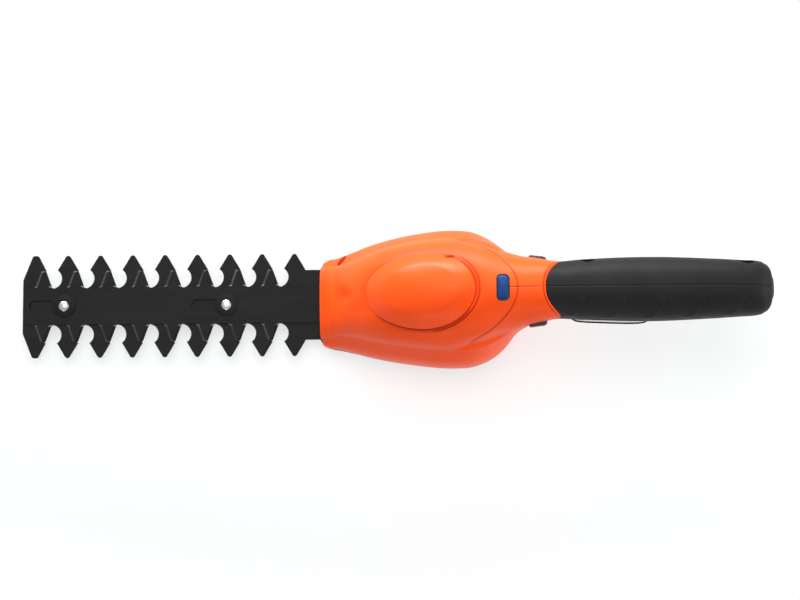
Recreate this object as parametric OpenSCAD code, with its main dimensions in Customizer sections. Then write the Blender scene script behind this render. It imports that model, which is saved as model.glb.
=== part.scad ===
// Cordless grass shears: a double-sided comb blade in front, a domed head over a
// standing motor and gear train, and a soft grip with trigger behind.
// Origin on the flat sole under the drive axle, blade tip to -X, grip to +X.

/* [Head] */
// Length from the nose to the front edge of the grip
head_len = 128.5; // [124:0.5:136]
// Greatest width of the head
head_w = 81.2; // [78:0.2:88]
// Height of the neck behind the head
head_h = 96; // [94:0.5:102]
// Distance from the drive axle forward to the nose
nose_reach = 38; // [36.5:0.5:40]
// Wall of the two half shells
wall = 2.4; // [1.8:0.1:2.8]
// Thickness of the flat sole
sole_t = 10; // [8:0.5:11]

/* [Grip] */
// Length of the grip behind the head
grip_len = 129.1; // [120:0.5:140]
// Greatest width of the grip
grip_w = 36; // [35:0.5:40]
// Height of the grip
grip_h = 43.5; // [42:0.5:46]
// Depth of the grip's underside below the height of the neck
grip_hang = 42; // [40:0.5:44]
// Thickness of the soft overmould
skin_t = 1.5; // [1.2:0.1:2]
// Number of slanting ribs on each side of the grip
rib_count = 5; // [4:1:6]
// Diameter of a slanting rib
rib_d = 2; // [1.8:0.1:2.4]

/* [Blade] */
// Thickness of each blade
blade_t = 2; // [1.6:0.1:2.4]
// Spacing of the teeth
tooth_pitch = 19.44; // [18:0.1:20]
// Teeth on each side of the guard blade
guard_teeth = 9; // [7:1:9]
// Reach of the guard teeth from the centre line
guard_reach = 30.8; // [29:0.1:33]
// Radius of the round gullets between the guard teeth
gullet_r = 6.1; // [5.5:0.1:6.4]
// Reach of the cutter teeth from the centre line
cutter_reach = 21.4; // [20:0.1:23]
// Half width of the cutter's spine
spine_half = 10.9; // [10:0.1:11.4]
// Width of the guard's shank in the nose
shank_w = 42; // [40:0.2:42]
// Diameter of the rivet heads
rivet_d = 6.1; // [5.6:0.1:6.6]
// Diameter of the black washers
washer_d = 13.5; // [12:0.1:14]

/* [Drive] */
// Teeth of the drive gear
drive_teeth = 40; // [38:1:40]
// Teeth of the idler's pinion and of the motor pinion
pinion_teeth = 12; // [12:1:13]
// Teeth of the idler's wheel
wheel_teeth = 36; // [34:1:36]
// Tooth size of the drive stage, pitch diameter over teeth
drive_pitch = 0.8; // [0.76:0.01:0.8]
// Tooth size of the motor stage, pitch diameter over teeth
motor_pitch = 0.7; // [0.66:0.01:0.7]
// Face width of the drive gear
gear_t = 6; // [5:0.5:6.5]
// Diameter of the drive shaft
shaft_d = 6; // [5:0.5:6.5]
// Diameter of the motor can
motor_d = 24.4; // [23:0.1:25]
// Room from the end of the motor up to the height of the neck
motor_headroom = 26.8; // [26:0.2:29]
// Diameter of the motor shaft
motor_shaft_d = 2.3; // [2:0.1:2.5]

/* [Controls] */
// Length of the trigger behind its pin
trigger_len = 34; // [31:0.5:36]
// Width of the trigger
trigger_w = 12; // [10:0.5:13]
// Diameter of the trigger's pin
pin_d = 3; // [2.5:0.1:3.2]
// Length of a lock button along the tool
lock_len = 10; // [9:0.5:11]
// Height of a lock button
lock_h = 7; // [6:0.5:8]
// Travel of a lock button
lock_travel = 3; // [2:0.1:3]
// Length of the top button across the tool
button_w = 15; // [14:0.5:16]
// Length of the top button along the tool
button_len = 7.1; // [6.5:0.1:8]
// Travel of the top button
button_travel = 1.8; // [1.2:0.1:2]

/* [Power] */
// Diameter of the battery cell
cell_d = 18.4; // [17:0.1:18.6]
// Room behind the battery cell for its tab and the charge socket
cell_rear = 22.6; // [21.5:0.1:26]
// Diameter of the charge socket's bore
socket_d = 5.6; // [5:0.1:6]

/* [Hidden] */
$fn = 64;
// Overrun of every cut
cut = 1;
// Clearance of seated pieces, running fits and neighbours that move
seat = 0.03;
run = 0.06;
clear = 0.3;
// Gap between skins and shells that lie on each other
skin_gap = 0.1;
// Sides of round holes in the shells and of the grip's ribs
shell_fn = 20;
rib_fn = 8;

// Shell places along the tool
nose_x = -nose_reach;
neck_x = nose_x + head_len;
tail_x = neck_x + grip_len;
grip_lift = head_h - grip_hang;
half_w = head_w / 2;
grip_half = grip_w / 2;
room = 2 * (head_len + grip_len);

// Head sections in shares of head_len, head_h and half_w:
// place, underside height, skirt height and half width, crease height and half width, top height
head_shares = [
    [0, 0, 0.135, 0.53, 0.19, 0.48, 0.25],
    [0.01, 0, 0.14, 0.58, 0.195, 0.49, 0.28],
    [0.027, 0, 0.155, 0.62, 0.215, 0.5, 0.32],
    [0.062, 0, 0.19, 0.66, 0.26, 0.507, 0.395],
    [0.1, 0, 0.23, 0.69, 0.32, 0.515, 0.48],
    [0.156, 0, 0.28, 0.744, 0.405, 0.545, 0.595],
    [0.233, 0, 0.345, 0.82, 0.5, 0.615, 0.73],
    [0.327, 0, 0.4, 0.89, 0.568, 0.69, 0.835],
    [0.428, 0, 0.437, 0.946, 0.61, 0.745, 0.905],
    [0.545, 0, 0.458, 0.993, 0.625, 0.783, 0.948],
    [0.638, 0, 0.455, 1, 0.635, 0.783, 0.968],
    [0.7, 0.003, 0.43, 0.982, 0.64, 0.765, 0.977],
    [0.763, 0.015, 0.385, 0.912, 0.65, 0.712, 0.982],
    [0.81, 0.045, 0.345, 0.826, 0.66, 0.64, 0.985],
    [0.856, 0.105, 0.34, 0.695, 0.68, 0.565, 0.988],
    [0.903, 0.23, 0.43, 0.51, 0.71, 0.505, 0.991],
    [0.95, 0.42, 0.67, 0.455, 0.75, 0.47, 0.995]
];
// Grip sections in shares of grip_len, grip_h above grip_lift, and grip_half, same columns
grip_shares = [
    [0, -0.045, 0.483, 0.978, 0.517, 0.97, 0.975],
    [0.066, 0.01, 0.53, 0.894, 0.55, 0.89, 0.984],
    [0.167, 0, 0.552, 0.939, 0.575, 0.935, 0.993],
    [0.33, -0.01, 0.552, 0.989, 0.575, 0.985, 1],
    [0.44, -0.01, 0.552, 1, 0.575, 0.996, 1],
    [0.554, 0, 0.552, 0.989, 0.575, 0.985, 1],
    [0.75, 0.035, 0.552, 0.928, 0.575, 0.924, 0.988],
    [0.856, 0.07, 0.552, 0.883, 0.575, 0.879, 0.965],
    [0.926, 0.115, 0.552, 0.855, 0.575, 0.851, 0.926],
    [0.964, 0.17, 0.552, 0.783, 0.575, 0.779, 0.86],
    [0.988, 0.265, 0.552, 0.62, 0.575, 0.616, 0.78],
    [1, 0.39, 0.552, 0.333, 0.575, 0.33, 0.68]
];
// Roundness of the section below the skirt and above the crease, on the head and on the grip
head_power_shares = [4, 1.9];
grip_power_shares = [2.3, 2.2];
// Where the head's roundness starts to turn into the grip's, in shares of head_len
blend_share = 0.76;
// Ring parameter at the skirt and at the crease
skirt_share = 0.42;
crease_share = 0.5;

// Station table in millimetres
stations = concat(
    [for (r = head_shares) [nose_x + r[0] * head_len, r[1] * head_h, r[2] * head_h,
        r[3] * half_w, r[4] * head_h, r[5] * half_w, r[6] * head_h]],
    [for (r = grip_shares) [neck_x + r[0] * grip_len, grip_lift + r[1] * grip_h,
        grip_lift + r[2] * grip_h, r[3] * grip_half, grip_lift + r[4] * grip_h,
        r[5] * grip_half, grip_lift + r[6] * grip_h]]
);
last = len(stations) - 1;

// Smooth curve through one column of the station table
function slope(i, c) = let (a = max(i - 1, 0), b = min(i + 1, last))
    (stations[b][c] - stations[a][c]) / (stations[b][0] - stations[a][0]);
function span_of(x) = max([0, for (k = [0:last - 1]) if (x >= stations[k][0]) k]);
function hermite(u, a, b, ma, mb) = a * (1 + 2 * u) * pow(1 - u, 2) + ma * u * pow(1 - u, 2)
    + b * u * u * (3 - 2 * u) + mb * u * u * (u - 1);
function section(x) = let (i = span_of(x), l = stations[i + 1][0] - stations[i][0],
    u = (x - stations[i][0]) / l)
    [for (c = [0:6]) hermite(u, stations[i][c], stations[i + 1][c], slope(i, c) * l, slope(i + 1, c) * l)];
function ease(u) = let (v = min(max(u, 0), 1)) v * v * (3 - 2 * v);
function grip_like(x) = ease((x - nose_x - blend_share * head_len) / (head_len * (1 - blend_share)));
function power(x, k) = head_power_shares[k] + (grip_power_shares[k] - head_power_shares[k]) * grip_like(x);

// Point [y, z] of the outer surface at x, t from 0 below to 1 on top, set in by some depth
function rim(x, t, depth = 0) = let (s = section(x), low = 2 / power(x, 0), top = 2 / power(x, 1),
    under = s[1] + depth, skirt = s[3] - depth, crease = s[5] - depth, crown = s[6] - depth)
    t <= skirt_share ? let (a = 90 * (1 - t / skirt_share))
        [skirt * pow(cos(a), low), s[2] - (s[2] - under) * pow(sin(a), low)]
    : t <= crease_share ? let (u = (t - skirt_share) / (crease_share - skirt_share))
        [skirt + (crease - skirt) * u, s[2] + (s[4] - s[2]) * u]
    : let (b = 90 * (t - crease_share) / (1 - crease_share))
        [crease * pow(max(cos(b), 0), top), s[4] + (crown - s[4]) * pow(sin(b), top)];
// Height of the dome over a point of the plan
function dome_z(x, y) = let (s = section(x), n = power(x, 1))
    s[4] + (s[6] - s[4]) * pow(1 - pow(min(abs(y) / s[5], 1), n), 1 / n);
// Half width of the head at the top of the sole
function sole_half(x) = let (s = section(x), n = power(x, 0))
    s[3] * pow(1 - pow((s[2] - sole_t) / (s[2] - s[1]), n), 1 / n);

// Ring parameters from bottom to top, and places along the tool
low_steps = 5;
dome_steps = 6;
ring_t = concat([for (k = [0:low_steps]) k / low_steps * skirt_share],
    [for (k = [0:dome_steps]) crease_share + k / dome_steps * (1 - crease_share)]);
shell_xs = [for (i = [0:last]) each i < len(head_shares)
    ? [stations[i][0], (stations[i][0] + stations[i + 1][0]) / 2] : [stations[i][0]]];

// Depth of the shell's inside below the outer surface: one wall, plus the skin along the grip
function inner_depth(x) = wall + (skin_t + skin_gap)
    * min(max((x - neck_x + skin_run) / skin_run, 0), 1);
skin_run = 10;
inner_first = nose_x + wall;
inner_last = tail_x - wall - skin_t - skin_gap;
inner_xs = concat([inner_first], [for (x = shell_xs) if (x > inner_first + cut && x < inner_last - cut) x],
    [inner_last]);

// Closed body through full rings: right half upwards, left half downwards
module loft(rings) {
    n = len(rings[0]);
    m = len(rings);
    function centre(r) = [for (c = [0:2]) (r[0][c] + r[floor(n / 2)][c]) / 2];
    points = concat([for (r = rings) each r], [centre(rings[0]), centre(rings[m - 1])]);
    sides = [for (i = [0:m - 2], j = [0:n - 1]) let (k = (j + 1) % n, a = i * n, b = a + n)
        each [[a + j, b + j, a + k], [a + k, b + j, b + k]]];
    caps = [for (j = [0:n - 1]) let (k = (j + 1) % n, e = (m - 1) * n)
        each [[j, k, m * n], [e + k, e + j, m * n + 1]]];
    polyhedron(points, concat(sides, caps));
}
function full_ring(x, depth) = let (half = [for (t = ring_t) rim(x, t, depth)], n = len(half))
    concat([for (p = half) [x, p[0], p[1]]], [for (j = [n - 2:-1:1]) [x, -half[j][0], half[j][1]]]);
module envelope() loft([for (x = shell_xs) full_ring(x, 0)]);
module inside() loft([for (x = inner_xs) full_ring(x, inner_depth(x))]);

// Thin skin over one side of the surface between two depths, on a grid of places and ring parameters
module skin(grid, outer, inner, side) {
    m = len(grid);
    n = len(grid[0]);
    w = 2 * n;
    function pts(g, depth) = [for (p = g) let (q = rim(p[0], p[1], depth))
        [p[0], side * max(q[0], skin_gap / 2), q[1]]];
    points = [for (g = grid) each concat(pts(g, outer), pts(g, inner))];
    function quad(a, b, c, d) = side > 0 ? [[a, b, c], [c, b, d]] : [[a, c, b], [c, d, b]];
    faces = concat(
        [for (i = [0:m - 2], j = [0:n - 2]) let (a = i * w + j, b = a + w) each quad(a, b, a + 1, b + 1)],
        [for (i = [0:m - 2], j = [0:n - 2]) let (a = i * w + n + j, b = a + w) each quad(a, a + 1, b, b + 1)],
        [for (i = [0:m - 2]) let (a = i * w, b = a + w) each quad(a, a + n, b, b + n)],
        [for (i = [0:m - 2]) let (a = i * w + n - 1, b = a + w) each quad(a, b, a + n, b + n)],
        [for (j = [0:n - 2]) let (a = j) each quad(a, a + 1, a + n, a + n + 1)],
        [for (j = [0:n - 2]) let (a = (m - 1) * w + j) each quad(a, a + n, a + 1, a + n + 1)]
    );
    polyhedron(points, faces);
}
// The grip's front edge is an arc: it starts further back on the sides than on top
edge_sweep = 9.5;
end_share = 0.985;
grip_rows = 16;
function grip_front(t) = neck_x + edge_sweep * pow(sin(180 * min(t, 1)), 2);
function grip_grid(margin) = [for (i = [0:grip_rows]) [for (t = ring_t)
    let (a = grip_front(t) - margin, b = tail_x - grip_len * (1 - end_share) + margin)
    [a + (b - a) * (1 - pow(1 - i / grip_rows, 1.5)), t]]];
module half_space(side) translate([-room, side > 0 ? 0 : -room, -room]) cube([2 * room, room, 2 * room]);
module side_of(side) intersection() {
    children();
    half_space(side);
}

// Flat shapes with round corners, and small fasteners
module rounded(l, w, r) {
    square([l - 2 * r, w], center = true);
    square([l, w - 2 * r], center = true);
    for (x = [-1, 1], y = [-1, 1]) translate([x * (l / 2 - r), y * (w / 2 - r)]) circle(r);
}
module disc(d, h) cylinder(d = d, h = h);
module ring(outer, inner, h) difference() {
    disc(outer, h);
    translate([0, 0, -cut]) disc(inner, h + 2 * cut);
}
// Screw standing head up with the underside of its head at zero
module screw(shank_d, length, head_d, head_h) {
    translate([0, 0, -length]) disc(shank_d, length + cut / 2);
    difference() {
        disc(head_d, head_h);
        translate([0, 0, head_h / 2]) cylinder(d = head_d / 2, h = head_h, $fn = 6);
    }
}
// Involute spur gear outline
pressure_angle = 25;
addendum_share = 0.8;
dedendum_share = 1.05;
backlash_share = 0.12;
flank_steps = 4;
function inv(a) = tan(a) * 180 / PI - a;
module spur(teeth, size, h, bore, turn = 0) {
    r = teeth * size / 2;
    base = r * cos(pressure_angle);
    tip = r + addendum_share * size;
    root = r - dedendum_share * size;
    start = max(base, root);
    half = 90 / teeth - backlash_share * size / r * 90 / PI + inv(pressure_angle);
    flank = [for (k = [0:flank_steps]) let (q = start + (tip - start) * k / flank_steps)
        [q, half - inv(acos(min(base / q, 1)))]];
    tooth = concat([[root, half]], flank, [for (k = [flank_steps:-1:0]) [flank[k][0], -flank[k][1]]],
        [[root, -half]]);
    rotate([0, 0, turn]) difference() {
        linear_extrude(h) polygon([for (i = [0:teeth - 1], k = [len(tooth) - 1:-1:0])
            let (a = i * 360 / teeth + tooth[k][1]) tooth[k][0] * [cos(a), sin(a)]]);
        translate([0, 0, -cut]) disc(bore, h + 2 * cut);
    }
}

// Heights of the drive, from the sole upwards
blade_gap = 0.1;
crank_gap = 2.4;
crank_t = 3;
plate_gap = 0.8;
plate_t = 3;
gear_gap = 0.8;
wheel_t = 4;
housing_gap = 1;
housing_t = 2.5;
guard_z = sole_t;
cutter_z = guard_z + blade_t + blade_gap;
crank_z = cutter_z + blade_t + crank_gap;
plate_z = crank_z + crank_t + plate_gap;
gear_z = plate_z + plate_t + gear_gap;
wheel_z = gear_z + gear_t + gear_gap;
housing_z = wheel_z + wheel_t + housing_gap;
motor_z = housing_z + housing_t;
motor_len = head_h - motor_z - motor_headroom;
// Places of the gear axles
idler_x = drive_pitch * (drive_teeth + pinion_teeth) / 2;
motor_x = idler_x + motor_pitch * (wheel_teeth + pinion_teeth) / 2;
// Crank throw: the cutter runs half a tooth spacing to and fro
throw = tooth_pitch / 4;
crank_pin_d = 5;
roller_d = 8;
slot_slack = 1.2;

// Blade places along the tool
tooth_9_gap = 15.6;
tip_lead = 7.4;
tip_flat = 1.5;
corner_drop = 8.7;
front_flat_share = 0.52;
first_tooth_x = nose_x - tooth_9_gap - (guard_teeth - 1) * tooth_pitch;
guard_front_x = first_tooth_x - tip_lead;
guard_tail_x = 12;
corner_half = 6.1;
corner_land = 0.3;
corner_y = guard_reach - corner_drop;
gullet_y = corner_y - sqrt(pow(gullet_r, 2) - pow(tooth_pitch / 2 - corner_half - corner_land, 2));
cutter_shift = 5;
cutter_back = 2;
cutter_root_half = 4.9;
cutter_tip_half = 1.4;
cutter_root_lead = 1;
yoke_half = 13.2;
yoke_wall = 4;
rivet_teeth = 5;
rivet_lead = 17.7;
rivet_xs = [for (k = [0, rivet_teeth]) first_tooth_x + rivet_lead + k * tooth_pitch];
rivet_neck_d = 5;
rivet_sleeve_d = 6.4;
rivet_slot_d = 7.2;
slot_reach = 17.4;
washer_t = 0.8;
washer_z = cutter_z + blade_t + blade_gap;
rivet_head_h = 1.5;
rivet_foot_d = 8;
rivet_foot_h = 1;
guard_screw_y = 17;
guard_screw_back = 14;
guard_screw_step = 26;
guard_screw_xs = [for (k = [0, 1]) nose_x + guard_screw_back + k * guard_screw_step];
guard_screw_d = 3.2;
guard_head_d = 5.6;
guard_head_h = 1.8;
guard_screw_len = 9;

steel = [0.16, 0.16, 0.17];
bright = [0.78, 0.78, 0.8];
orange = [0.96, 0.32, 0.09];
black = [0.09, 0.09, 0.1];

// One side of the guard's outline, from the front to the tail
guard_side = concat(
    [[guard_front_x, front_flat_share * guard_reach]],
    [for (i = [0:guard_teeth - 1]) let (x = first_tooth_x + i * tooth_pitch) each concat(
        i > 0 ? [[x - corner_half, corner_y]] : [],
        [[x - tip_flat / 2, guard_reach], [x + tip_flat / 2, guard_reach], [x + corner_half, corner_y]])],
    [[nose_x - tooth_9_gap + corner_half + corner_land, shank_w / 2], [guard_tail_x, shank_w / 2]]
);
function both_sides(side) = concat(side, [for (i = [len(side) - 1:-1:0]) [side[i][0], -side[i][1]]]);
module guard_blade() color(steel) translate([0, 0, guard_z]) difference() {
    linear_extrude(blade_t) polygon(both_sides(guard_side));
    for (s = [-1, 1], i = [0:guard_teeth - 2])
        translate([first_tooth_x + (i + 0.5) * tooth_pitch, s * gullet_y, -cut])
        cylinder(r = gullet_r, h = blade_t + 2 * cut);
    for (x = rivet_xs) translate([x, 0, -cut]) disc(rivet_neck_d + 2 * seat, blade_t + 2 * cut);
    for (x = guard_screw_xs, s = [-1, 1]) translate([x, s * guard_screw_y, -cut])
        disc(guard_screw_d + 2 * clear, blade_t + 2 * cut);
}

// One side of the cutter's outline, from the front to the yoke
yoke_slot_half = roller_d / 2 + slot_slack + clear;
yoke_slot_reach = throw + roller_d / 2 + clear;
yoke_tail_x = yoke_slot_half + yoke_wall - throw;
cutter_side = concat(
    [[guard_front_x + cutter_back, spine_half]],
    [for (i = [0:guard_teeth - 2])
        let (x = first_tooth_x + cutter_shift + i * tooth_pitch, y = spine_half + cutter_root_lead)
        each [[x - cutter_root_half - cutter_root_lead, spine_half], [x - cutter_root_half, y],
            [x - cutter_tip_half, cutter_reach], [x + cutter_tip_half, cutter_reach],
            [x + cutter_root_half, y], [x + cutter_root_half + cutter_root_lead, spine_half]]],
    [[nose_x, spine_half], [nose_x + yoke_half - spine_half, yoke_half], [yoke_tail_x, yoke_half]]
);
module cutter_blade() color(steel) translate([0, 0, cutter_z]) difference() {
    linear_extrude(blade_t) polygon(both_sides(cutter_side));
    for (x = rivet_xs) {
        translate([x - slot_reach + rivet_slot_d / 2, -rivet_slot_d / 2, -cut])
            cube([slot_reach - rivet_slot_d / 2, rivet_slot_d, blade_t + 2 * cut]);
        for (e = [x, x - slot_reach + rivet_slot_d / 2]) translate([e, 0, -cut])
            disc(rivet_slot_d, blade_t + 2 * cut);
    }
    translate([-throw, 0, -cut]) linear_extrude(blade_t + 2 * cut)
        rounded(2 * yoke_slot_half, 2 * yoke_slot_reach, yoke_slot_half / 2);
}

module blade_rivets() color(bright) for (x = rivet_xs) translate([x, 0, 0]) {
    translate([0, 0, guard_z - rivet_foot_h]) disc(rivet_foot_d, rivet_foot_h);
    translate([0, 0, guard_z]) disc(rivet_neck_d, washer_z + washer_t - guard_z);
    translate([0, 0, guard_z + blade_t]) disc(rivet_sleeve_d, washer_z - guard_z - blade_t);
    translate([0, 0, washer_z + washer_t]) difference() {
        rotate_extrude() intersection() {
            square([rivet_d / 2, rivet_head_h]);
            translate([0, rivet_head_h - rivet_d]) circle(rivet_d);
        }
        translate([0, -rivet_d / 2, rivet_head_h]) cube([rivet_notch, rivet_d / 2, rivet_notch], center = true);
    }
}
rivet_notch = 0.9;

module rivet_washers() color(black) for (x = rivet_xs)
    translate([x, 0, washer_z]) ring(washer_d, rivet_neck_d + 2 * seat, washer_t);

// Sole: the head's plan at the height of the sole, up to a straight rear edge
sole_end_share = 0.8;
sole_steps = 26;
sole_x = nose_x + sole_end_share * head_len;
sole_xs = [for (i = [0:sole_steps]) nose_x + (sole_x - nose_x) * i / sole_steps];
sole_screw_shares = [[0.47, 0.75], [0.71, 0.66]];
sole_screws_at = [for (p = sole_screw_shares) [nose_x + p[0] * head_len, p[1] * half_w]];
sole_screw_d = 3;
sole_head_d = 5.6;
sole_head_h = 2;
sole_head_z = 3.5;
sole_screw_len = 16;
gear_leg_d = 8;
front_leg_y = 24;
rear_leg_y = 20;
rear_leg_lead = 15;
gear_legs = [[idler_x - gear_leg_d / 2, front_leg_y], [sole_x - rear_leg_lead, rear_leg_y]];
gear_screw_d = 3;
gear_head_d = 5.4;
gear_head_h = 2;
lug_t = 3.5;

module sole_plate() color(black) difference() {
    linear_extrude(sole_t) polygon(concat([for (x = sole_xs) [x, sole_half(x)]],
        [for (i = [sole_steps:-1:0]) [sole_xs[i], -sole_half(sole_xs[i])]]));
    for (x = guard_screw_xs, s = [-1, 1])
        translate([x, s * guard_screw_y, sole_t - guard_screw_len + blade_t - seat])
        disc(guard_screw_d + 2 * seat, guard_screw_len);
    for (p = sole_screws_at, s = [-1, 1]) translate([p[0], s * p[1], -cut]) {
        disc(sole_screw_d + 2 * clear, sole_t + 2 * cut);
        disc(sole_head_d + 2 * clear, sole_head_z + cut);
    }
}

module guard_screws() color(bright) for (x = guard_screw_xs, s = [-1, 1])
    translate([x, s * guard_screw_y, guard_z + blade_t])
    screw(guard_screw_d, guard_screw_len, guard_head_d, guard_head_h);

module sole_screws() color(bright) for (p = sole_screws_at, s = [-1, 1])
    translate([p[0], s * p[1], sole_head_z]) mirror([0, 0, 1])
    screw(sole_screw_d, sole_screw_len, sole_head_d, sole_head_h);

// Drive shaft with the crank below and the gear above
bush_d = 10;
bush_flange_d = 12.5;
upper_bush_t = 3.4;
shaft_end = 1;
module crank_disc() color(bright) {
    translate([0, 0, crank_z]) ring(2 * (throw + roller_d / 2 + cut), shaft_d + 2 * seat, crank_t);
    translate([-throw, 0, cutter_z + clear]) disc(crank_pin_d, crank_z - cutter_z);
}
module crank_roller() color([0.7, 0.6, 0.3]) translate([-throw, 0, cutter_z + clear])
    ring(roller_d, crank_pin_d + 2 * run, crank_z - cutter_z - 2 * clear);
module drive_shaft() color(bright) translate([0, 0, crank_z])
    disc(shaft_d, housing_z + housing_t - crank_z - shaft_end);
module drive_gear() color([0.9, 0.9, 0.85]) translate([0, 0, gear_z])
    spur(drive_teeth, drive_pitch, gear_t, shaft_d + 2 * seat);
module lower_bush() color([0.7, 0.5, 0.25]) translate([0, 0, plate_z])
    ring(bush_d, shaft_d + 2 * run, plate_t);
module upper_bush() color([0.7, 0.5, 0.25]) translate([0, 0, housing_z - upper_bush_t + housing_t])
    ring(bush_d, shaft_d + 2 * run, upper_bush_t);

axle_d = 4;
idler_hub_d = 8;
module idler_gear() color([0.9, 0.9, 0.85]) translate([idler_x, 0, 0]) {
    translate([0, 0, gear_z])
        spur(pinion_teeth, drive_pitch, gear_t, axle_d + 2 * run, 180 + 180 / pinion_teeth);
    translate([0, 0, gear_z + gear_t]) ring(idler_hub_d, axle_d + 2 * run, wheel_z - gear_z - gear_t);
    translate([0, 0, wheel_z]) spur(wheel_teeth, motor_pitch, wheel_t, axle_d + 2 * run);
}
module idler_axle() color(bright) translate([idler_x, 0, plate_z])
    disc(axle_d, housing_z + housing_t - plate_z);

// Gearbox plate on four legs, and the housing over it
case_gap = 1.3;
case_wall = 2;
case_drive_r = drive_pitch * drive_teeth / 2 + addendum_share * drive_pitch + case_gap + case_wall;
case_motor_r = motor_pitch * wheel_teeth / 2 + addendum_share * motor_pitch + case_gap + case_wall;
module case_plan(inset) {
    circle(case_drive_r - inset);
    translate([motor_x, 0]) circle(case_motor_r - inset);
    translate([0, inset - case_motor_r]) square([motor_x, 2 * (case_motor_r - inset)]);
}
module legs_plan() for (p = gear_legs, s = [-1, 1]) translate([p[0], s * p[1]]) {
    circle(d = gear_leg_d);
    translate([-gear_leg_d / 2, s > 0 ? -p[1] / 2 : 0]) square([gear_leg_d, p[1] / 2]);
}
module gearbox_plate() color([0.55, 0.56, 0.58]) difference() {
    union() {
        translate([0, 0, plate_z]) linear_extrude(plate_t) {
            case_plan(0);
            legs_plan();
        }
        for (p = gear_legs, s = [-1, 1]) translate([p[0], s * p[1], sole_t])
            disc(gear_leg_d, plate_z - sole_t);
    }
    translate([0, 0, plate_z - cut]) {
        disc(bush_d + 2 * seat, plate_t + 2 * cut);
        translate([idler_x, 0]) disc(axle_d + 2 * seat, plate_t + 2 * cut);
    }
    for (p = gear_legs, s = [-1, 1]) translate([p[0], s * p[1], sole_t + cut])
        disc(gear_screw_d + 2 * seat, plate_z + plate_t - sole_t);
}
motor_boss_d = 9;
motor_boss_h = 2;
motor_screw_y = 8;
motor_screw_d = 2.5;
motor_screw_len = 5.5;
module gearbox_housing() color([0.55, 0.56, 0.58]) difference() {
    union() {
        translate([0, 0, plate_z + plate_t]) difference() {
            linear_extrude(motor_z - plate_z - plate_t) case_plan(0);
            translate([0, 0, -cut]) linear_extrude(housing_z - plate_z - plate_t + cut) case_plan(case_wall);
        }
        translate([0, 0, plate_z + plate_t]) linear_extrude(lug_t) difference() {
            legs_plan();
            case_plan(case_wall);
        }
        translate([0, 0, motor_z - upper_bush_t]) disc(bush_flange_d, upper_bush_t - housing_t + cut);
    }
    translate([0, 0, motor_z - upper_bush_t - cut]) disc(bush_d + 2 * seat, upper_bush_t + 2 * cut);
    translate([idler_x, 0, housing_z - cut]) disc(axle_d + 2 * seat, housing_t + 2 * cut);
    translate([motor_x, 0, housing_z - cut]) disc(motor_boss_d + 2 * seat, housing_t + 2 * cut);
    for (s = [-1, 1]) translate([motor_x, s * motor_screw_y, housing_z - cut])
        disc(motor_screw_d + 2 * clear, housing_t + 2 * cut);
    for (p = gear_legs, s = [-1, 1]) translate([p[0], s * p[1], plate_z + plate_t - cut])
        disc(gear_screw_d + 2 * clear, lug_t + 2 * cut);
}
gear_screw_len = 14;
module gearbox_screws() color(bright) for (p = gear_legs, s = [-1, 1])
    translate([p[0], s * p[1], plate_z + plate_t + lug_t])
    screw(gear_screw_d, gear_screw_len, gear_head_d, gear_head_h);

// Motor standing on the housing
motor_cap_h = 4;
motor_bore_h = 8;
terminal_w = 3;
terminal_t = 0.5;
terminal_h = 5;
terminal_y = 7.5;
motor_top = motor_z + motor_len;
module motor_can() color(bright) translate([motor_x, 0, 0]) difference() {
    union() {
        translate([0, 0, motor_z]) disc(motor_d, motor_len - motor_cap_h);
        translate([0, 0, motor_z - motor_boss_h]) disc(motor_boss_d, motor_boss_h + cut);
    }
    translate([0, 0, motor_z - motor_boss_h - cut]) disc(motor_shaft_d + 2 * run, motor_bore_h + cut + clear);
    for (s = [-1, 1]) translate([0, s * motor_screw_y, motor_z - cut])
        disc(motor_screw_d + 2 * seat, motor_screw_len + cut);
}
module motor_cap() color(black) translate([motor_x, 0, motor_top - motor_cap_h]) difference() {
    union() {
        disc(motor_d - case_wall, motor_cap_h);
        disc(motor_boss_d, motor_cap_h + terminal_t);
    }
    for (s = [-1, 1]) translate([0, s * terminal_y, motor_cap_h])
        cube([terminal_w + 2 * seat, terminal_t + 2 * seat, motor_cap_h], center = true);
}
module motor_terminals() color([0.8, 0.65, 0.3]) for (s = [-1, 1])
    translate([motor_x, s * terminal_y, motor_top - motor_cap_h / 2 + terminal_h / 2 + seat])
    cube([terminal_w, terminal_t, terminal_h], center = true);
pinion_z = wheel_z - clear;
pinion_t = wheel_t + 2 * clear;
module motor_shaft() color(bright) translate([motor_x, 0, pinion_z - clear])
    disc(motor_shaft_d, motor_z - motor_boss_h + motor_bore_h - pinion_z);
module motor_pinion() color([0.8, 0.7, 0.4]) translate([motor_x, 0, pinion_z])
    spur(pinion_teeth, motor_pitch, pinion_t, motor_shaft_d + 2 * seat, 180 + 180 / pinion_teeth);
motor_head_d = 4.4;
motor_head_h = 0.8;
module motor_screws() color(bright) for (s = [-1, 1])
    translate([motor_x, s * motor_screw_y, housing_z]) mirror([0, 0, 1])
    screw(motor_screw_d, housing_t + motor_screw_len - clear, motor_head_d, motor_head_h);

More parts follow.
